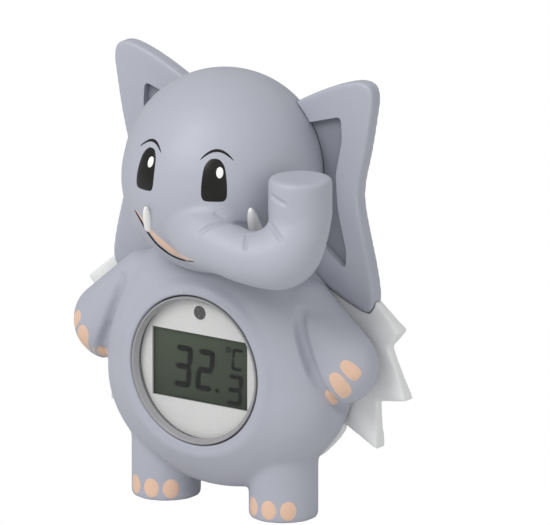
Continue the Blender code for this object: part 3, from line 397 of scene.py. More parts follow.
def refine(shape, line, reach):
    """Splits the faces near a line, so a fine groove can be pressed there."""
    tree = KDTree(len(line))
    for index, point in enumerate(line):
        tree.insert(point, index)
    tree.balance()
    close = {vertex for vertex in shape.verts if tree.find(vertex.co)[2] < reach}
    edges = [edge for edge in shape.edges if edge.verts[0] in close and edge.verts[1] in close]
    bmesh.ops.subdivide_edges(shape, edges=edges, cuts=1, use_grid_fill=True)


def on_face(bearing, rise):
    """A point on the head or jaw by its bearing from -Y towards +X and its rise, in degrees."""
    level = cos(radians(rise))
    way = Vector((sin(radians(bearing)) * level, -cos(radians(bearing)) * level, sin(radians(rise))))
    offset = JAW - HEAD
    along = way.dot(offset)
    jaw_reach = along + sqrt(along ** 2 - offset.length_squared + JAW_RADIUS ** 2)
    return HEAD + way * max(HEAD_RADIUS, jaw_reach)


def radial(skin, centre):
    """Finds points on a skin from a centre inside it."""
    def find(point):
        aim = (point - centre).normalized()
        hit, _, _, _ = skin.ray_cast(centre + aim * 60, -aim)
        return hit, aim
    return find


def seen(skin):
    """Finds points on a skin from the main view, given in the view's own plane."""
    def find(point):
        start = VIEW_RIGHT * point[0] + VIEW_UP * point[1] + VIEW_TOWARD * 200
        hit, normal, _, _ = skin.ray_cast(start, -VIEW_TOWARD)
        return hit, normal
    return find


def patch(skin, anchor, outward, outline, lift, turn=0.0, depth=0.8):
    """A domed inlay on a skin: outline is in the plane across outward, +v towards the top."""
    outward = outward.normalized()
    right = Vector((0, 0, 1)).cross(outward).normalized()
    up = outward.cross(right)
    spin = Matrix.Rotation(radians(turn), 3, outward)
    right, up = spin @ right, spin @ up
    count = len(outline)
    shape = bmesh.new()
    loops = []
    for share in DOME_SHARES:
        innermost = share == DOME_SHARES[-1]
        ring = bmesh.ops.create_circle(
            shape, cap_ends=innermost, cap_tris=True, segments=count, radius=share,
        )
        rim = ring["verts"][-count:] if innermost else ring["verts"]
        for vertex, (u, v) in zip(rim, outline):
            vertex.co = (u * share, v * share, sqrt(max(0.0, 1 - share ** 2)))
        if innermost:
            for vertex in ring["verts"][:-count]:
                vertex.co = (0, 0, 1)
        loops.append(rim)
    for outer, inner in zip(loops, loops[1:]):
        edges = [edge for edge in shape.edges if edge.verts[0] in outer and edge.verts[1] in outer]
        edges += [edge for edge in shape.edges if edge.verts[0] in inner and edge.verts[1] in inner]
        bmesh.ops.bridge_loops(shape, edges=edges)
    for vertex in shape.verts:
        u, v, dome = vertex.co
        start = anchor + right * u + up * v + outward * 8
        hit, _, _, _ = skin.ray_cast(start, -outward)
        vertex.co = (hit or start - outward * 8) + outward * (dome * lift - INLAY_SINK)
    bmesh.ops.recalc_face_normals(shape, faces=shape.faces)
    if sum((face.normal.dot(outward) for face in shape.faces)) < 0:
        bmesh.ops.reverse_faces(shape, faces=shape.faces)
    bmesh.ops.solidify(shape, geom=shape.faces, thickness=depth)
    bmesh.ops.recalc_face_normals(shape, faces=shape.faces)
    return shape


def ribbon(find, lower, upper, lift, depth=0.5, across=6):
    """A thin inlay between two lines, laid on a skin by a way to find its points."""
    shape = bmesh.new()
    count = len(lower)
    grid = bmesh.ops.create_grid(shape, x_segments=count - 1, y_segments=across, size=1)
    out = Vector()
    for vertex in grid["verts"]:
        i = round((vertex.co.x + 1) / 2 * (count - 1))
        t = (vertex.co.y + 1) / 2
        hit, outward = find(Vector(lower[i]).lerp(Vector(upper[i]), t))
        dome = sqrt(max(0.0, 1 - (2 * t - 1) ** 2))
        vertex.co = hit + outward * (dome * lift - INLAY_SINK)
        out += outward
    bmesh.ops.remove_doubles(shape, verts=shape.verts, dist=1e-4)
    shape.normal_update()
    if sum((face.normal * face.calc_area() for face in shape.faces), Vector()).dot(out) < 0:
        bmesh.ops.reverse_faces(shape, faces=shape.faces)
    bmesh.ops.solidify(shape, geom=shape.faces, thickness=depth)
    bmesh.ops.recalc_face_normals(shape, faces=shape.faces)
    return shape


def mirror_x(points):
    """The same line on the other side, in the other order."""
    return [(-x, z) for x, z in reversed(points)]


def disc(radius, front, back):
    """The profile of a plain round plate, for turning."""
    return [(0.0, front), (radius, front), (radius, back), (0.0, back)]


def oblong(x, z, half_wide, half_high):
    """The outline of a rectangle about a place."""
    return [(x - half_wide, z - half_high), (x + half_wide, z - half_high),
            (x + half_wide, z + half_high), (x - half_wide, z + half_high)]


def head_room(gap):
    """The head's ball with a gap around it, for clearing its neighbours."""
    return orb(HEAD, (HEAD_RADIUS + gap,) * 3, steps=96)


def skin_of(shape):
    return BVHTree.FromBMesh(shape)


# Materials

def new_group(name, inputs, outputs):
    """A node group with named sockets, each given as (name, type, default)."""
    tree = bpy.data.node_groups.new(name, "ShaderNodeTree")
    for label, kind, value in inputs:
        socket = tree.interface.new_socket(label, in_out="INPUT", socket_type=kind)
        socket.default_value = value
    for label, kind in outputs:
        tree.interface.new_socket(label, in_out="OUTPUT", socket_type=kind)
    return tree, tree.nodes.new("NodeGroupInput"), tree.nodes.new("NodeGroupOutput")


def wire(tree, source, target):
    tree.links.new(source, target)


def noise(tree, place, scale, detail=3.0, rough=0.5):
    made = tree.nodes.new("ShaderNodeTexNoise")
    made.inputs["Detail"].default_value = detail
    made.inputs["Roughness"].default_value = rough
    tree.links.new(place, made.inputs["Vector"])
    if isinstance(scale, float):
        made.inputs["Scale"].default_value = scale
    else:
        tree.links.new(scale, made.inputs["Scale"])
    return made.outputs["Fac"]


def math(tree, kind, first, second):
    made = tree.nodes.new("ShaderNodeMath")
    made.operation = kind
    for socket, value in zip(made.inputs, (first, second)):
        if isinstance(value, (int, float)):
            socket.default_value = value
        else:
            tree.links.new(value, socket)
    return made.outputs["Value"]


def spread(tree, value, low, high):
    """Maps a noise value, which stays near the middle, onto low to high."""
    made = tree.nodes.new("ShaderNodeMapRange")
    made.inputs["From Min"].default_value = 0.3
    made.inputs["From Max"].default_value = 0.7
    made.inputs["To Min"].default_value = low
    made.inputs["To Max"].default_value = high
    tree.links.new(value, made.inputs["Value"])
    return made.outputs["Result"]


def moulding_group():
    """Soft unevenness of a moulded skin: tone, shine and the fine grain of the mould."""
    tree, given, result = new_group(
        "moulded_skin",
        [("Blotch Scale", "NodeSocketFloat", 70.0), ("Grain Scale", "NodeSocketFloat", 2400.0)],
        [("Tone", "NodeSocketFloat"), ("Shine", "NodeSocketFloat"), ("Grain", "NodeSocketFloat")],
    )
    place = tree.nodes.new("ShaderNodeTexCoord").outputs["Object"]
    blotch = noise(tree, place, given.outputs["Blotch Scale"], 2.0)
    speck = noise(tree, place, given.outputs["Grain Scale"], 3.0, 0.6)
    slow = noise(tree, place, 28.0, 1.0)
    tone = math(tree, "MULTIPLY", blotch, 0.6)
    tone = math(tree, "ADD", tone, math(tree, "MULTIPLY", speck, 0.15))
    tone = math(tree, "ADD", tone, math(tree, "MULTIPLY", slow, 0.25))
    wire(tree, spread(tree, tone, 0.0, 1.0), result.inputs["Tone"])
    shine = math(tree, "ADD", math(tree, "MULTIPLY", slow, 0.6), math(tree, "MULTIPLY", speck, 0.4))
    wire(tree, spread(tree, shine, 0.0, 1.0), result.inputs["Shine"])
    wire(tree, speck, result.inputs["Grain"])
    return tree


MOULDING = moulding_group()


def shader_of(name):
    made = bpy.data.materials.new(name)
    made.use_nodes = True
    tree = made.node_tree
    return made, tree, tree.nodes["Principled BSDF"]


def colour_mix(tree, factor, first, second):
    made = tree.nodes.new("ShaderNodeMix")
    made.data_type = "RGBA"
    made.inputs["A"].default_value = (*first, 1)
    made.inputs["B"].default_value = (*second, 1)
    tree.links.new(factor, made.inputs["Factor"])
    return made.outputs["Result"]


def moulded(name, colour, roughness, vary=0.05, bump=0.02, grain=2400.0, blotch=70.0, metallic=0.0,
            coat=0.0, specular=0.5):
    """A moulded or painted finish whose colour, shine and grain change softly over the surface."""
    made, tree, shader = shader_of(name)
    skin = tree.nodes.new("ShaderNodeGroup")
    skin.node_tree = MOULDING
    skin.inputs["Blotch Scale"].default_value = blotch
    skin.inputs["Grain Scale"].default_value = grain
    low = [channel * (1 - vary) for channel in colour]
    high = [min(1.0, channel * (1 + vary)) for channel in colour]
    wire(tree, colour_mix(tree, skin.outputs["Tone"], low, high), shader.inputs["Base Color"])
    shine = tree.nodes.new("ShaderNodeMapRange")
    shine.inputs["To Min"].default_value = roughness - 0.05
    shine.inputs["To Max"].default_value = roughness + 0.05
    wire(tree, skin.outputs["Shine"], shine.inputs["Value"])
    wire(tree, shine.outputs["Result"], shader.inputs["Roughness"])
    relief = tree.nodes.new("ShaderNodeBump")
    relief.inputs["Strength"].default_value = bump * 10
    relief.inputs["Distance"].default_value = 0.0001
    wire(tree, skin.outputs["Grain"], relief.inputs["Height"])
    wire(tree, relief.outputs["Normal"], shader.inputs["Normal"])
    shader.inputs["Metallic"].default_value = metallic
    shader.inputs["Coat Weight"].default_value = coat
    shader.inputs["Specular IOR Level"].default_value = specular
    return made


def clear_plastic():
    """A thin clear window: see-through head on, brighter at a slant."""
    made, tree, shader = shader_of("clear_window")
    facing = tree.nodes.new("ShaderNodeLayerWeight")
    facing.inputs["Blend"].default_value = 0.25
    skin = tree.nodes.new("ShaderNodeGroup")
    skin.node_tree = MOULDING
    haze = math(tree, "MULTIPLY", skin.outputs["Tone"], 0.004)
    alpha = math(tree, "ADD", math(tree, "MULTIPLY", facing.outputs["Facing"], 0.05), haze)
    wire(tree, math(tree, "ADD", alpha, 0.004), shader.inputs["Alpha"])
    shader.inputs["Base Color"].default_value = (0.92, 0.93, 0.94, 1)
    shader.inputs["Roughness"].default_value = 0.06
    return made


def display_glass_with_painted_light():
    """Dark grey-green display glass with painted light: a little lighter towards its upper left, the key
    lamp's side.
    """
    made, tree, shader = shader_of("display_green_painted_light")
    place = tree.nodes.new("ShaderNodeTexCoord")
    split = tree.nodes.new("ShaderNodeSeparateXYZ")
    wire(tree, place.outputs["Object"], split.inputs["Vector"])
    # Painted light: lighter up and to the left, where the key lamp shines from
    lean = math(tree, "SUBTRACT", split.outputs["Z"], math(tree, "MULTIPLY", split.outputs["X"], 0.4))
    rise = tree.nodes.new("ShaderNodeMapRange")
    rise.inputs["From Min"].default_value = 0.024
    rise.inputs["From Max"].default_value = 0.050
    wire(tree, lean, rise.inputs["Value"])
    blotch = noise(tree, place.outputs["Object"], 160.0, 2.0)
    painted_light_slope = math(tree, "MULTIPLY", rise.outputs["Result"], 0.8)
    level = math(tree, "ADD", painted_light_slope, math(tree, "MULTIPLY", blotch, 0.3))
    green = colour_mix(tree, level, (0.023, 0.031, 0.021), (0.060, 0.074, 0.048))
    wire(tree, green, shader.inputs["Base Color"])
    wire(tree, spread(tree, blotch, 0.30, 0.38), shader.inputs["Roughness"])
    shader.inputs["Specular IOR Level"].default_value = 0.12
    return made


GREY = moulded("soft_grey_skin", (0.405, 0.416, 0.480), 0.50, 0.025, 0.012)
# Dark grey for the ear panels' inlay: painted shade in the sunk recess
PANEL_SHADE_GREY = moulded("ear_panel_painted_shade", (0.245, 0.255, 0.300), 0.55, 0.03, 0.012, specular=0.3)
SPLASH = moulded("splash_white", (0.78, 0.785, 0.785), 0.42, 0.03, 0.010)
DRUM_WHITE = moulded("drum_white", (0.70, 0.705, 0.705), 0.40, 0.03, 0.012)
TUSK_WHITE = moulded("tusk_white_paint", (0.86, 0.855, 0.83), 0.32, 0.03, 0.006)
PEACH = moulded("peach_paint", (0.76, 0.51, 0.37), 0.46, 0.06, 0.010, blotch=260.0)
EYE_BLACK = moulded("eye_black_paint", (0.013, 0.013, 0.012), 0.34, 0.2, 0.004, specular=0.22)
# Dark line colour: printed brows, and painted shade in the smile groove
LINE_DARK = moulded("line_print_and_groove_shade", (0.018, 0.016, 0.018), 0.55, 0.2, 0.006, specular=0.15)
GLINT_WHITE = moulded("glint_paint", (0.90, 0.90, 0.89), 0.30, 0.02, 0.004)
# The ring is silver-white; this darker grey is painted shade for the recessed wall
SHADED_RING = moulded("ring_silver_painted_shade", (0.31, 0.31, 0.32), 0.33, 0.05, 0.006, grain=3200.0)
# A white dial, darkened all over as painted shade from the recess around it
SHADED_DIAL = moulded("dial_white_painted_shade", (0.61, 0.615, 0.605), 0.50, 0.03, 0.006, blotch=180.0)
DISPLAY = display_glass_with_painted_light()
DIGIT = moulded("digit_ink", (0.006, 0.007, 0.006), 0.45, 0.15, 0.002, specular=0.08)
LAMP = moulded("lamp_window_dark", (0.045, 0.043, 0.042), 0.16, 0.2, 0.004, coat=0.5)
LENS = clear_plastic()
STEEL = moulded("bright_steel", (0.56, 0.56, 0.57), 0.26, 0.08, 0.010, grain=5200.0, metallic=1.0)
RUBBER = moulded("seal_rubber", (0.05, 0.05, 0.052), 0.75, 0.12, 0.03)
BOARD = moulded("board_green", (0.03, 0.15, 0.07), 0.42, 0.12, 0.01)
RESIN = moulded("black_resin", (0.018, 0.018, 0.018), 0.34, 0.2, 0.01)
WHITE = moulded("carrier_white", (0.72, 0.72, 0.71), 0.45, 0.03, 0.01)


def piece(name, shape, material, nodes=(), sharp=40.0):
    """Puts a finished shape into the scene as one piece of the figure."""
    shape.transform(TO_WORLD)
    mesh = bpy.data.meshes.new(name)
    shape.to_mesh(mesh)
    shape.free()
    made = bpy.data.objects.new(name, mesh)
    bpy.context.scene.collection.objects.link(made)
    mesh.materials.append(material)
    mesh.shade_smooth()
    mesh.set_sharp_from_angle(angle=radians(sharp))
    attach(made, "root")
    if nodes:
        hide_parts(*nodes)
    return made


# Head

def eye_outline(width, height):
    """An arch that is widest low down, with a flat foot."""
    right = [
        (0.42, 0.93), (0.78, 0.62), (0.94, 0.10), (1.0, -0.42), (0.97, -0.78), (0.78, -0.96), (0.36, -1.0),
    ]
    left = [(-x, y) for x, y in reversed(right)]
    knots = [(0.0, 1.0)] + right + left
    return [(x * width / 2, y * height / 2) for x, y in curved(knots, 3, closed=True)]


def oval(width, height, count=32):
    return [(width / 2 * sin(tau * k / count), height / 2 * cos(tau * k / count)) for k in range(count)]


def egg(width, height, count=32):
    """A rounded nail: broad and flat at the tip, narrower at the root."""
    found = []
    for k in range(count):
        turn = tau * k / count
        across, rise = sin(turn), cos(turn)
        squarer = 1 + 0.10 * sin(2 * turn) ** 2
        found.append((width / 2 * across * squarer * (1 - 0.14 * rise), height / 2 * rise * squarer))
    return found


def head_piece():
    """Head, jaw and trunk as one soft skin; returns the skin for the face to sit on."""
    forms = [orb(HEAD, (HEAD_RADIUS,) * 3, steps=96), orb(JAW, (JAW_RADIUS,) * 3, steps=96)]
    forms += limb(TRUNK)
    forms += [orb(centre, (radius,) * 3) for centre, radius in MUZZLE]
    x, y, z, radius = TRUNK[-1]
    forms.append(post(x, y, TRUNK_END_RADIUS, z - 2, TRUNK_END))
    shape = melt("head_skin", forms, HEAD_SKIN, HEAD_PASSES)
    find = seen(skin_of(shape))
    for knots, width, depth in ((SMILE, *MOUTH_GROOVE), (CHIN, *CHIN_RIDGE), *CREASES):
        line = [hit for hit, _ in map(find, curved(knots, 16)) if hit]
        if width < FINE_WIDTH:
            refine(shape, line, width + 0.6)
        press(shape, line, width, depth)
    return shape, skin_of(shape)


def face(skin):
    """Eyes with their highlights, and the brows above them."""
    for side, name in ((1, "left"), (-1, "right")):
        bearing = FACE_TURN + side * EYE_SPREAD
        anchor = on_face(bearing, EYE_RISES[name])
        outward = anchor - HEAD
        eye = patch(skin, anchor, outward, eye_outline(*EYE_SIZE), EYE_LIFT)
        over = skin_of(eye)
        piece(f"eye_{name}_glaze", eye, EYE_BLACK, [f"eye_{name}"])
        right = Vector((0, 0, 1)).cross(outward).normalized()
        up = outward.cross(right).normalized()
        place = anchor + right * GLINT_PLACE[0] + up * GLINT_PLACE[1]
        glint = patch(over, place, outward, oval(*GLINT_SIZE), GLINT_LIFT, depth=0.3)
        piece(f"eye_{name}_glint", glint, GLINT_WHITE)
        centre = FACE_TURN + side * BROW_SPREAD
        low, high = BROW_RISES[name]
        arcs = []
        for half in (-0.5, 0.5):
            arc = []
            for k in range(25):
                t = k / 12 - 1
                rise = low + (high - low) * (1 - t * t)
                width = BROW_WIDTH * sqrt(max(0.02, 1 - t ** 4))
                aside = degrees(half * width / HEAD_RADIUS)
                arc.append(on_face(centre + BROW_HALF_SPAN * t, rise + aside))
            arcs.append(arc)
        brow = ribbon(radial(skin, HEAD), *arcs, BROW_LIFT)
        piece(f"brow_{name}", brow, LINE_DARK)


def tusk(name, root, tip, thick, node):
    """A blunt white tusk that leans out of the skin."""
    root, tip = Vector(root), Vector(tip)
    along = (tip - root).normalized()
    length = (tip - root).length
    profile = [(0.0, -1.2), (0.9, -1.2), (1.0, 0.4), (0.95, length * 0.35), (0.76, length * 0.65)]
    profile += [(0.50, length * 0.86), (0.28, length * 0.96), (0.0, length)]
    shape = turned(curved([(radius * thick, y) for radius, y in profile], 3), 32)
    turn = along.to_track_quat("Y", "Z").to_matrix().to_4x4()
    shape.transform(Matrix.Translation(root) @ turn)
    bmesh.ops.recalc_face_normals(shape, faces=shape.faces)
    piece(name, shape, TUSK_WHITE, [node])


def mouth(skin):
    """A dark strip in the smile groove, as painted shade, with the peach lip above it."""
    find = seen(skin)
    line = [Vector(place) for place in curved(SMILE, 10)]
    lip = [Vector(place) for place in curved(LIP, 10)]
    last = len(line) - 1
    lower, upper = [], []
    for index, place in enumerate(line):
        along = (line[min(index + 1, last)] - line[max(index - 1, 0)]).normalized()
        half = SMILE_HALF * (0.3 + 0.7 * sin(pi * index / last) ** 0.4)
        aside = Vector((-along.y, along.x)) * half
        lower.append(place - aside)
        upper.append(place + aside)
    # A dark strip laid in the smile groove: painted shade
    piece("smile_groove_shade", ribbon(find, lower, upper, 0.08, across=3), LINE_DARK)
    piece("lip_peach", ribbon(find, upper, lip, 0.12), PEACH, ["mouth_lip"])


# Ears

def ease(value):
    value = min(1.0, max(0.0, value))
    return value * value * (3 - 2 * value)


def ear(name, side):
    """A thick soft-edged ear with a sunk panel, whose floor carries a dark inlay as painted shade."""
    outline = curved([(x * side, z) for x, z in EAR_OUTLINE], 3, closed=True)
    hidden_end = tuple((a + b) / 2 for a, b in zip(EAR_PANEL[0], EAR_PANEL[-1]))
    panel = rounded_profile([hidden_end, *EAR_PANEL, hidden_end], PANEL_ROUND)[:-1]
    panel = [(x * side, z) for x, z in panel]
    middle = Vector((EAR_PANEL_MIDDLE[0] * side, EAR_PANEL_MIDDLE[1]))
    inner = [Vector(place) + (middle - Vector(place)).normalized() * INLAY_GAP for place in panel]
    plate = slab(outline, PLATE_FRONT, PLATE_FRONT + EAR_THICKNESS)
    shape = melt(name, [plate], EAR_SKIN, EAR_PASSES)
    floor = PLATE_FRONT + EAR_DEPTH
    shape = carved(name, shape, slab(panel, PLATE_FRONT - 1.0, floor))
    shape = carved(name, shape, head_room(EAR_HEAD_GAP))
    piece(f"{name}_skin", shape, GREY, [name])
    # A dark grey sheet on the panel's floor: painted shade for the recess
    shade = slab(inner, floor - INLAY_LIFT - INLAY_THICKNESS, floor - INLAY_LIFT)
    shade = carved(name, shade, head_room(EAR_HEAD_GAP))
    piece(f"{name}_panel", shade, PANEL_SHADE_GREY)


# Torso

def body_piece():
    """Torso, arms and legs as one hollow skin with the window hole and a flat open back."""
    forms = [orb(TORSO, TORSO_RADII, steps=128), orb(BELLY, BELLY_RADII, steps=96)]
    for side in (1, -1):
        for k in range(ARM_STEPS + 1):
            centre, radii = (top.lerp(low, k / ARM_STEPS) for top, low in zip(SHOULDER, HAND))
            forms.append(orb((side * centre.x, centre.y, centre.z), radii))
        forms.append(post(side * LEG_X, 0, LEG_RADIUS, -0.1, LEG_TOP))
    shape = melt("body_skin", forms, BODY_SKIN, BODY_PASSES)
    find = seen(skin_of(shape))
    for knots, width, depth in ((ARM_FOLD, *ARM_FOLD_PRESS), (ARM_EDGE, *ARM_EDGE_PRESS)):
        line = [hit for hit, _ in map(find, curved(knots, 12)) if hit]
        press(shape, line, width, depth)
        press(shape, [Vector((-hit.x, hit.y, hit.z)) for hit in line], width, depth)
    for vertex in shape.verts:
        if vertex.co.y < FRONT_LIMIT:
            reach = sqrt(vertex.co.x ** 2 + (vertex.co.z - WINDOW_Z) ** 2)
            flat = 1 - ease((reach - WINDOW_RADIUS - WINDOW_BORDER) / WINDOW_BLEND)
            vertex.co.y += (WINDOW_FACE - vertex.co.y) * flat
    window_seat = turned([
        (0.0, -30.0), (WINDOW_RADIUS + 1.1, -30.0), (WINDOW_RADIUS + 0.9, WINDOW_FACE - 0.3),
        (WINDOW_RADIUS + 0.35, WINDOW_FACE + 0.05), (WINDOW_RADIUS + 0.08, WINDOW_FACE + 0.35),
        (WINDOW_RADIUS, WINDOW_FACE + 0.9), (WINDOW_RADIUS, WINDOW_SEAT), (0.0, WINDOW_SEAT),
    ], 128, (0, 0, WINDOW_Z))
    inside = orb(TORSO, [radius - BODY_WALL for radius in TORSO_RADII], steps=64)
    bmesh.ops.bisect_plane(
        inside, geom=inside.verts[:] + inside.edges[:] + inside.faces[:], plane_co=(0, HOLLOW_FRONT, 0),
        plane_no=(0, -1, 0), clear_outer=True,
    )
    rims = [edge for edge in inside.edges if edge.is_boundary]
    bmesh.ops.contextual_create(inside, geom=rims)
    shape = carved("body_skin", shape, inside)
    shape = carved("body_skin", shape, window_seat)
    room = slab([(-70, 0), (70, 0), (70, 90), (-70, 90)], -60, BODY_BACK)
    shape = carved("body_skin", shape, room, "INTERSECT")
    shape = carved("body_skin", shape, head_room(BODY_HEAD_GAP))
    return shape, skin_of(shape)


# Splash plate and drum

def plate_outline():
    """The plate's edge: round along the belly, then three points a side and a flat top."""
    half = []
    share = sqrt(1 - ((PLATE_FRONT - TORSO.y) / TORSO_RADII[1]) ** 2)
    for k in range(13):
        angle = radians(-90 + 6.0 * k)
        point = (TORSO_RADII[0] * share * cos(angle), TORSO.z + TORSO_RADII[2] * share * sin(angle))
        if point[1] < PLATE_NOTCHES[0][1] - 1.0:
            half.append(point)
    half.append(PLATE_NOTCHES[0])
    for tip, notch in zip(PLATE_TIPS, PLATE_NOTCHES[1:]):
        half += [tip, notch]
    half += PLATE_TOP
    return half + mirror_x(half[1:-1])


def splash_plate():
    """The white splash behind the body, with a soft ridge to each point."""
    plate = slab(plate_outline(), PLATE_FRONT, PLATE_FRONT + PLATE_THICKNESS)
    shape = melt("splash_plate", [plate], PLATE_SKIN, PLATE_PASSES)
    for vertex in shape.verts:
        place = Vector((abs(vertex.co.x), vertex.co.z))
        height = 0.0
        for tip in PLATE_TIPS:
            along = Vector(tip) - RIDGE_HUB
            t = max(0.0, (place - RIDGE_HUB).dot(along) / along.length_squared)
            off = (place - RIDGE_HUB - along * t).length
            height = max(height, (1 - ease(off / RIDGE_HALF)) * ease((t - RIDGE_START) / RIDGE_GROWTH))
        through = (vertex.co.y - PLATE_FRONT) / PLATE_THICKNESS
        vertex.co.y += (1 - height) * (RIDGE_FRONT * (1 - through) - RIDGE_BACK * through)
    for side in (1, -1):
        grown = [(x * side, z) for x, z in EAR_OUTLINE]
        room = slab(curved(grown, 3, closed=True), PLATE_FRONT - 2, PLATE_FRONT + PLATE_THICKNESS + 2)
        for vertex in room.verts:
            away = Vector((vertex.co.x - side * EAR_MIDDLE[0], 0, vertex.co.z - EAR_MIDDLE[1]))
            vertex.co += away.normalized() * PLATE_EAR_GAP
        shape = carved("splash_plate", shape, room)
    shape = carved("splash_plate", shape, head_room(PLATE_HEAD_GAP))
    piece("splash_plate", shape, SPLASH, ["rear_housing"])


def rounded_profile(corners, radius, steps=5):
    """A profile with every inner corner rounded, from (radius, y) corners."""
    result = [corners[0]]
    for before, here, after in zip(corners, corners[1:], corners[2:]):
        here, before, after = Vector(here), Vector(before), Vector(after)
        reach = min(radius, (before - here).length * 0.45, (after - here).length * 0.45)
        first = here + (before - here).normalized() * reach
        last = here + (after - here).normalized() * reach
        for k in range(steps + 1):
            t = k / steps
            result.append(tuple(first * (1 - t) ** 2 + here * 2 * t * (1 - t) + last * t ** 2))
    result.append(corners[-1])
    return result


def battery_drum():
    """The round battery housing on the plate's back, with a seat for its door."""
    back = PLATE_FRONT + PLATE_THICKNESS - 1.0
    seat = DOOR_FRONT - 0.3
    profile = rounded_profile([
        (0.0, seat - 1.5), (DOOR_RADIUS - 3.0, seat - 1.5), (DOOR_RADIUS - 3.0, seat),
        (DOOR_RADIUS + 0.3, seat), (DOOR_RADIUS + 0.3, DRUM_BACK), (DRUM_RADIUS, DRUM_BACK),
        (DRUM_RADIUS, back + 2.2), (DRUM_RADIUS + 1.6, back), (0.0, back),
    ], 0.8)
    piece("battery_drum", turned(profile, 128, (0, 0, DRUM_Z)), DRUM_WHITE)


def battery_door():
    profile = rounded_profile([
        (0.0, DOOR_FRONT), (DOOR_RADIUS, DOOR_FRONT), (DOOR_RADIUS, DRUM_BACK - 0.1), (9.6, DRUM_BACK - 0.1),
        (9.2, DRUM_BACK - 0.55), (0.0, DRUM_BACK - 0.55),
    ], 0.45)
    shape = turned(profile, 128, (0, 0, DRUM_Z))
    sink_radius, sink_depth = SCREW_SINK
    for side in (1, -1):
        profile = disc(sink_radius, DRUM_BACK - sink_depth, DRUM_BACK + 1)
        sink = turned(profile, 32, (side * DOOR_SCREW_X, 0, DRUM_Z))
        shape = carved("battery_door_lid", shape, sink)
    piece("battery_door_lid", shape, DRUM_WHITE, ["battery_door"])


def screw(name, x, z, face_y, node):
    """A small pan head with a cross recess."""
    head = rounded_profile([
        (0.0, face_y - 1.1), (SCREW_RADIUS, face_y - 1.1), (SCREW_RADIUS, face_y - 0.1), (0.0, face_y),
    ], 0.4)
    shape = turned(head, 32, (x, 0, z))
    for long_x, long_z in (SCREW_SLOT, reversed(SCREW_SLOT)):
        bar = slab(oblong(x, z, long_x / 2, long_z / 2), face_y - 0.5, face_y + 1)
        shape = carved(name, shape, bar)
    piece(name, shape, STEEL, [node])


def sensor_and_pins():
    """The steel cap over the temperature bead, and a water stud on each side of it."""
    back = PLATE_FRONT + PLATE_THICKNESS
    inside = PLATE_FRONT - 0.3
    cap = rounded_profile([
        (0.0, inside - 0.5), (4.2, inside - 0.5), (4.2, inside), (3.0, inside), (3.0, back + 2.6),
        (0.0, back + 2.6),
    ], 0.8)
    piece("sensor_tip", turned(cap, 48, (0, 0, SENSOR_Z)), STEEL, ["sensor_cap"])
    for side, name in ((1, "left"), (-1, "right")):
        pin = rounded_profile([
            (0.0, inside - 0.8), (1.5, inside - 0.8), (1.5, back + 0.3), (2.4, back + 0.3), (2.4, back + 0.9),
            (0.0, back + 1.1),
        ], 0.3)
        shape = turned(pin, 32, (side * PIN_X, 0, SENSOR_Z))
        piece(f"water_stud_{name}", shape, STEEL, [f"water_pin_{name}"])


# Window and display

def window_parts():
    """Ring, glass, dial, lamp window and display glass, from the front to the back."""
    ring = rounded_profile([
        (RING_THROAT, LENS_FRONT - 0.3), (RING_RIM, WINDOW_FACE), (RING_RADIUS, WINDOW_FACE),
        (RING_RADIUS, -7.8), (RING_RADIUS - 0.65, -7.8), (RING_RADIUS - 0.65, LENS_FRONT - 0.3),
        (RING_THROAT, LENS_FRONT - 0.3),
    ], 0.28)
    piece("window_ring", turned(ring[:-1], 160, (0, 0, WINDOW_Z)), SHADED_RING, ["bezel_ring"])
    lens = rounded_profile(disc(LENS_RADIUS, LENS_FRONT, LENS_FRONT + 0.8), 0.15)
    piece("window_glass", turned(lens, 128, (0, 0, WINDOW_Z)), LENS, ["window_lens"])
    dial = turned(disc(LENS_RADIUS, DIAL_FRONT, DIAL_FRONT + 0.5), 128, (0, 0, WINDOW_Z))
    hole = slab(oblong(0, WINDOW_Z, *DISPLAY_HALF), DIAL_FRONT - 1, DIAL_FRONT + 2)
    lamp_hole = turned(disc(LAMP_RADIUS + 0.12, DIAL_FRONT - 1, DIAL_FRONT + 2), 48, (0, 0, LAMP_Z))
    dial = carved("dial_face", carved("dial_face", dial, hole), lamp_hole)
    piece("dial_face", dial, SHADED_DIAL, ["dial_plate"])
    dot = rounded_profile([
        (0.0, DIAL_FRONT + 1.4), (LAMP_RADIUS, DIAL_FRONT + 1.4), (LAMP_RADIUS, DIAL_FRONT - 0.05),
        (1.05, DIAL_FRONT - 0.05), (0.9, DIAL_FRONT + 0.12), (0.0, DIAL_FRONT - 0.08),
    ], 0.15)
    piece("lamp_dot", turned(dot, 48, (0, 0, LAMP_Z)), LAMP, ["lamp_window"])
    glass = slab(oblong(0, WINDOW_Z, *DISPLAY_GLASS_HALF), DISPLAY_FRONT, DISPLAY_FRONT + 1.6)
    bmesh.ops.bevel(
        glass, geom=glass.edges[:], offset=0.12, offset_type="OFFSET", segments=2, profile=0.5,
        affect="EDGES", material=-1,
    )
    piece("display_face", glass, DISPLAY, ["display_glass"])


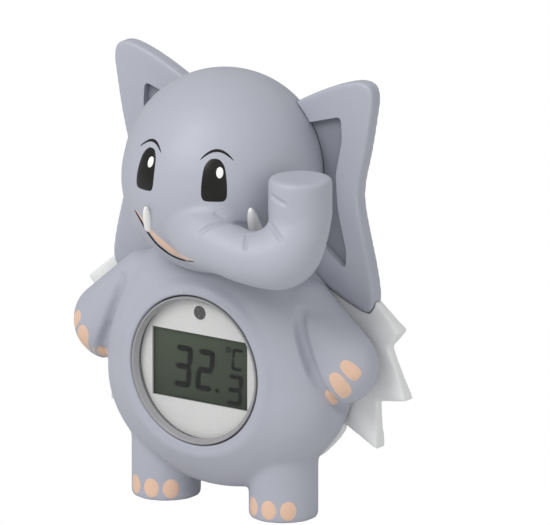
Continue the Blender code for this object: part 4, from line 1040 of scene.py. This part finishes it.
def digit(sign, left, low, width, height, weight, lean):
    """The lit bars of one seven-bar figure, as one flat shape in front of the display."""
    shape = bmesh.new()
    gap = weight * 0.10
    middle = height / 2
    bars = {
        "a": ((0, height - weight / 2), (width, height - weight / 2)),
        "g": ((0, middle), (width, middle)),
        "d": ((0, weight / 2), (width, weight / 2)),
        "f": ((weight / 2, middle), (weight / 2, height)),
        "b": ((width - weight / 2, middle), (width - weight / 2, height)),
        "e": ((weight / 2, 0), (weight / 2, middle)),
        "c": ((width - weight / 2, 0), (width - weight / 2, middle)),
    }
    for bar in BARS[sign]:
        (ax, az), (bx, bz) = bars[bar]
        start, end = Vector((ax, az)), Vector((bx, bz))
        along = (end - start).normalized()
        across = Vector((-along.y, along.x)) * weight / 2
        trim = gap + (weight * 0.12 if abs(along.x) > 0.5 else 0.0)
        first, last = start + along * trim, end - along * trim
        slant = along * weight / 2
        corners = [first + slant - across, last - slant - across, last, last - slant + across,
                   first + slant + across, first]
        if abs(along.x) > 0.5:
            corners[2], corners[5] = last, first
        verts = [shape.verts.new((left + p.x + lean * p.y, INK_FRONT, low + p.y)) for p in corners]
        face = shape.faces.new(verts)
        grown = bmesh.ops.extrude_face_region(shape, geom=[face])
        moved = [item for item in grown["geom"] if isinstance(item, bmesh.types.BMVert)]
        bmesh.ops.translate(shape, vec=(0, INK_BACK - INK_FRONT, 0), verts=moved)
    bmesh.ops.recalc_face_normals(shape, faces=shape.faces)
    return shape


def reading():
    """The lit temperature: thirty-two point three degrees."""
    for name, *place in FIGURES:
        piece(name, digit(*place, FIGURE_LEAN), DIGIT)
    dot = turned(disc(0.62, INK_FRONT, INK_BACK), 24, (4.7, 0, 31.9))
    piece("decimal_point", dot, DIGIT)
    ring = turned([(0.42, INK_FRONT), (0.80, INK_FRONT), (0.80, INK_BACK), (0.42, INK_BACK)], 32,
                  (8.1, 0, 42.9))
    piece("degree_ring", ring, DIGIT)


# Nails

def nails(skin):
    """Peach nails on the hands, the same on both, and on the feet."""
    find = seen(skin)
    for number, (across, height, wide, long, lean) in enumerate(HAND_NAILS, start=1):
        anchor = find((across, height))[0]
        for name in ("left", "right"):
            shape = patch(skin, anchor, VIEW_TOWARD, egg(wide, long), NAIL_LIFT, turn=lean, depth=NAIL_DEPTH)
            if name == "right":
                bmesh.ops.scale(shape, vec=(-1, 1, 1), verts=shape.verts)
                bmesh.ops.reverse_faces(shape, faces=shape.faces)
            piece(f"hand_nail_{name}_{number}", shape, PEACH)
    for side, name in ((1, "left"), (-1, "right")):
        for number, bearing in enumerate(FOOT_NAILS, start=1):
            way = Vector((sin(radians(bearing)), -cos(radians(bearing)), 0))
            start = Vector((side * LEG_X, 0, FOOT_NAIL_Z)) + way * 20
            hit, _, _, _ = skin.ray_cast(start, -way)
            if hit:
                shape = patch(skin, hit, way, oval(*FOOT_NAIL_SIZE), NAIL_LIFT, depth=NAIL_DEPTH)
                piece(f"foot_nail_{name}_{number}", shape, PEACH)


# Stage

def stage():
    """A white floor and room for the camera, softer for the light that falls on the figure."""
    made, tree, shader = shader_of("pale_floor")
    camera_ray = tree.nodes.new("ShaderNodeLightPath").outputs["Is Camera Ray"]
    wire(tree, colour_mix(tree, camera_ray, (0.80, 0.80, 0.80), (0, 0, 0)), shader.inputs["Base Color"])
    shader.inputs["Roughness"].default_value = 0.9
    shader.inputs["Specular IOR Level"].default_value = 0.0
    wire(tree, colour_mix(tree, camera_ray, (0, 0, 0), (1, 1, 1)), shader.inputs["Emission Color"])
    shader.inputs["Emission Strength"].default_value = 1.0
    shape = bmesh.new()
    bmesh.ops.create_grid(shape, x_segments=1, y_segments=1, size=4.0)
    mesh = bpy.data.meshes.new("floor")
    shape.to_mesh(mesh)
    shape.free()
    floor = bpy.data.objects.new("floor", mesh)
    bpy.context.scene.collection.objects.link(floor)
    mesh.materials.append(made)

    world = bpy.data.worlds.new("room")
    bpy.context.scene.world = world
    world.use_nodes = True
    tree = world.node_tree
    background = tree.nodes["Background"]
    path = tree.nodes.new("ShaderNodeLightPath")
    seen = math(tree, "MAXIMUM", path.outputs["Is Camera Ray"], path.outputs["Is Transmission Ray"])
    lit = math(tree, "MULTIPLY", seen, 0.45)
    wire(tree, math(tree, "ADD", lit, 0.55), background.inputs["Strength"])
    background.inputs["Color"].default_value = (1, 1, 1, 1)


def lamp(name, place, power, size):
    light = bpy.data.lights.new(name, "AREA")
    light.energy = power
    light.size = size
    made = bpy.data.objects.new(name, light)
    made.location = place
    target = TO_WORLD @ VIEW_TARGET
    made.rotation_euler = (target - made.location).to_track_quat("-Z", "Y").to_euler()
    bpy.context.scene.collection.objects.link(made)


def camera_and_lamps():
    target = TO_WORLD @ VIEW_TARGET
    distance = VIEW_WIDTH * VIEW_LENS / VIEW_SENSOR * 0.001
    camera = bpy.data.cameras.new("camera")
    camera.lens = VIEW_LENS
    camera.sensor_width = VIEW_SENSOR
    camera.clip_start = 0.05
    camera.clip_end = 20
    made = bpy.data.objects.new("camera", camera)
    made.location = target + VIEW_TOWARD * distance
    made.rotation_euler = (-VIEW_TOWARD).to_track_quat("-Z", "Y").to_euler()
    bpy.context.scene.collection.objects.link(made)
    bpy.context.scene.camera = made
    up = Vector((0, 0, 1))
    lamp("key", target + VIEW_TOWARD * 0.45 - VIEW_RIGHT * 0.50 + up * 0.55, 5.2, 0.55)
    lamp("fill", target + VIEW_TOWARD * 0.70 + VIEW_RIGHT * 0.35 + up * 0.10, 0.9, 0.70)


# Carried nodes that stay as they are inside the figure
CARRIED = {
    RUBBER: ("bezel_seal", "case_gasket", "door_seal", "contact_strip"),
    WHITE: ("display_carrier", "indicator_led"),
    BOARD: ("circuit_board",),
    RESIN: ("chip_cover", "buzzer", "temperature_bead"),
    STEEL: (
        "coin_cell", "contact_negative", "contact_positive", "neck_clip", "board_screw_1", "board_screw_2",
        "board_screw_3", "board_screw_4",
    ),
}


def dress_carried():
    for material, names in CARRIED.items():
        for name in names:
            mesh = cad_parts[name].data
            mesh.materials.clear()
            mesh.materials.append(material)


def build():
    head, head_skin = head_piece()
    face(head_skin)
    mouth(head_skin)
    piece("head_skin", head, GREY, ["head_shell"])
    tusk("tusk_left_cone", *TUSK_LEFT, "tusk_left")
    tusk("tusk_right_cone", *TUSK_RIGHT, "tusk_right")
    ear("ear_left", 1)
    ear("ear_right", -1)
    body, body_skin = body_piece()
    nails(body_skin)
    piece("body_skin", body, GREY, ["torso_shell"])
    splash_plate()
    battery_drum()
    battery_door()
    for number, side in enumerate((1, -1), start=1):
        node = f"door_screw_{number}"
        screw(f"door_screw_head_{number}", side * DOOR_SCREW_X, DRUM_Z, DRUM_BACK - 0.1, node)
    places = [(side * x, z) for side in (1, -1) for x, z in CASE_SCREWS]
    for number, (x, z) in enumerate(places, start=1):
        screw(f"case_screw_head_{number}", x, z, PLATE_FRONT + PLATE_THICKNESS, f"case_screw_{number}")
    sensor_and_pins()
    window_parts()
    reading()
    dress_carried()


camera_and_lamps()
stage()
build()
bpy.context.scene.view_settings.view_transform = "Standard"
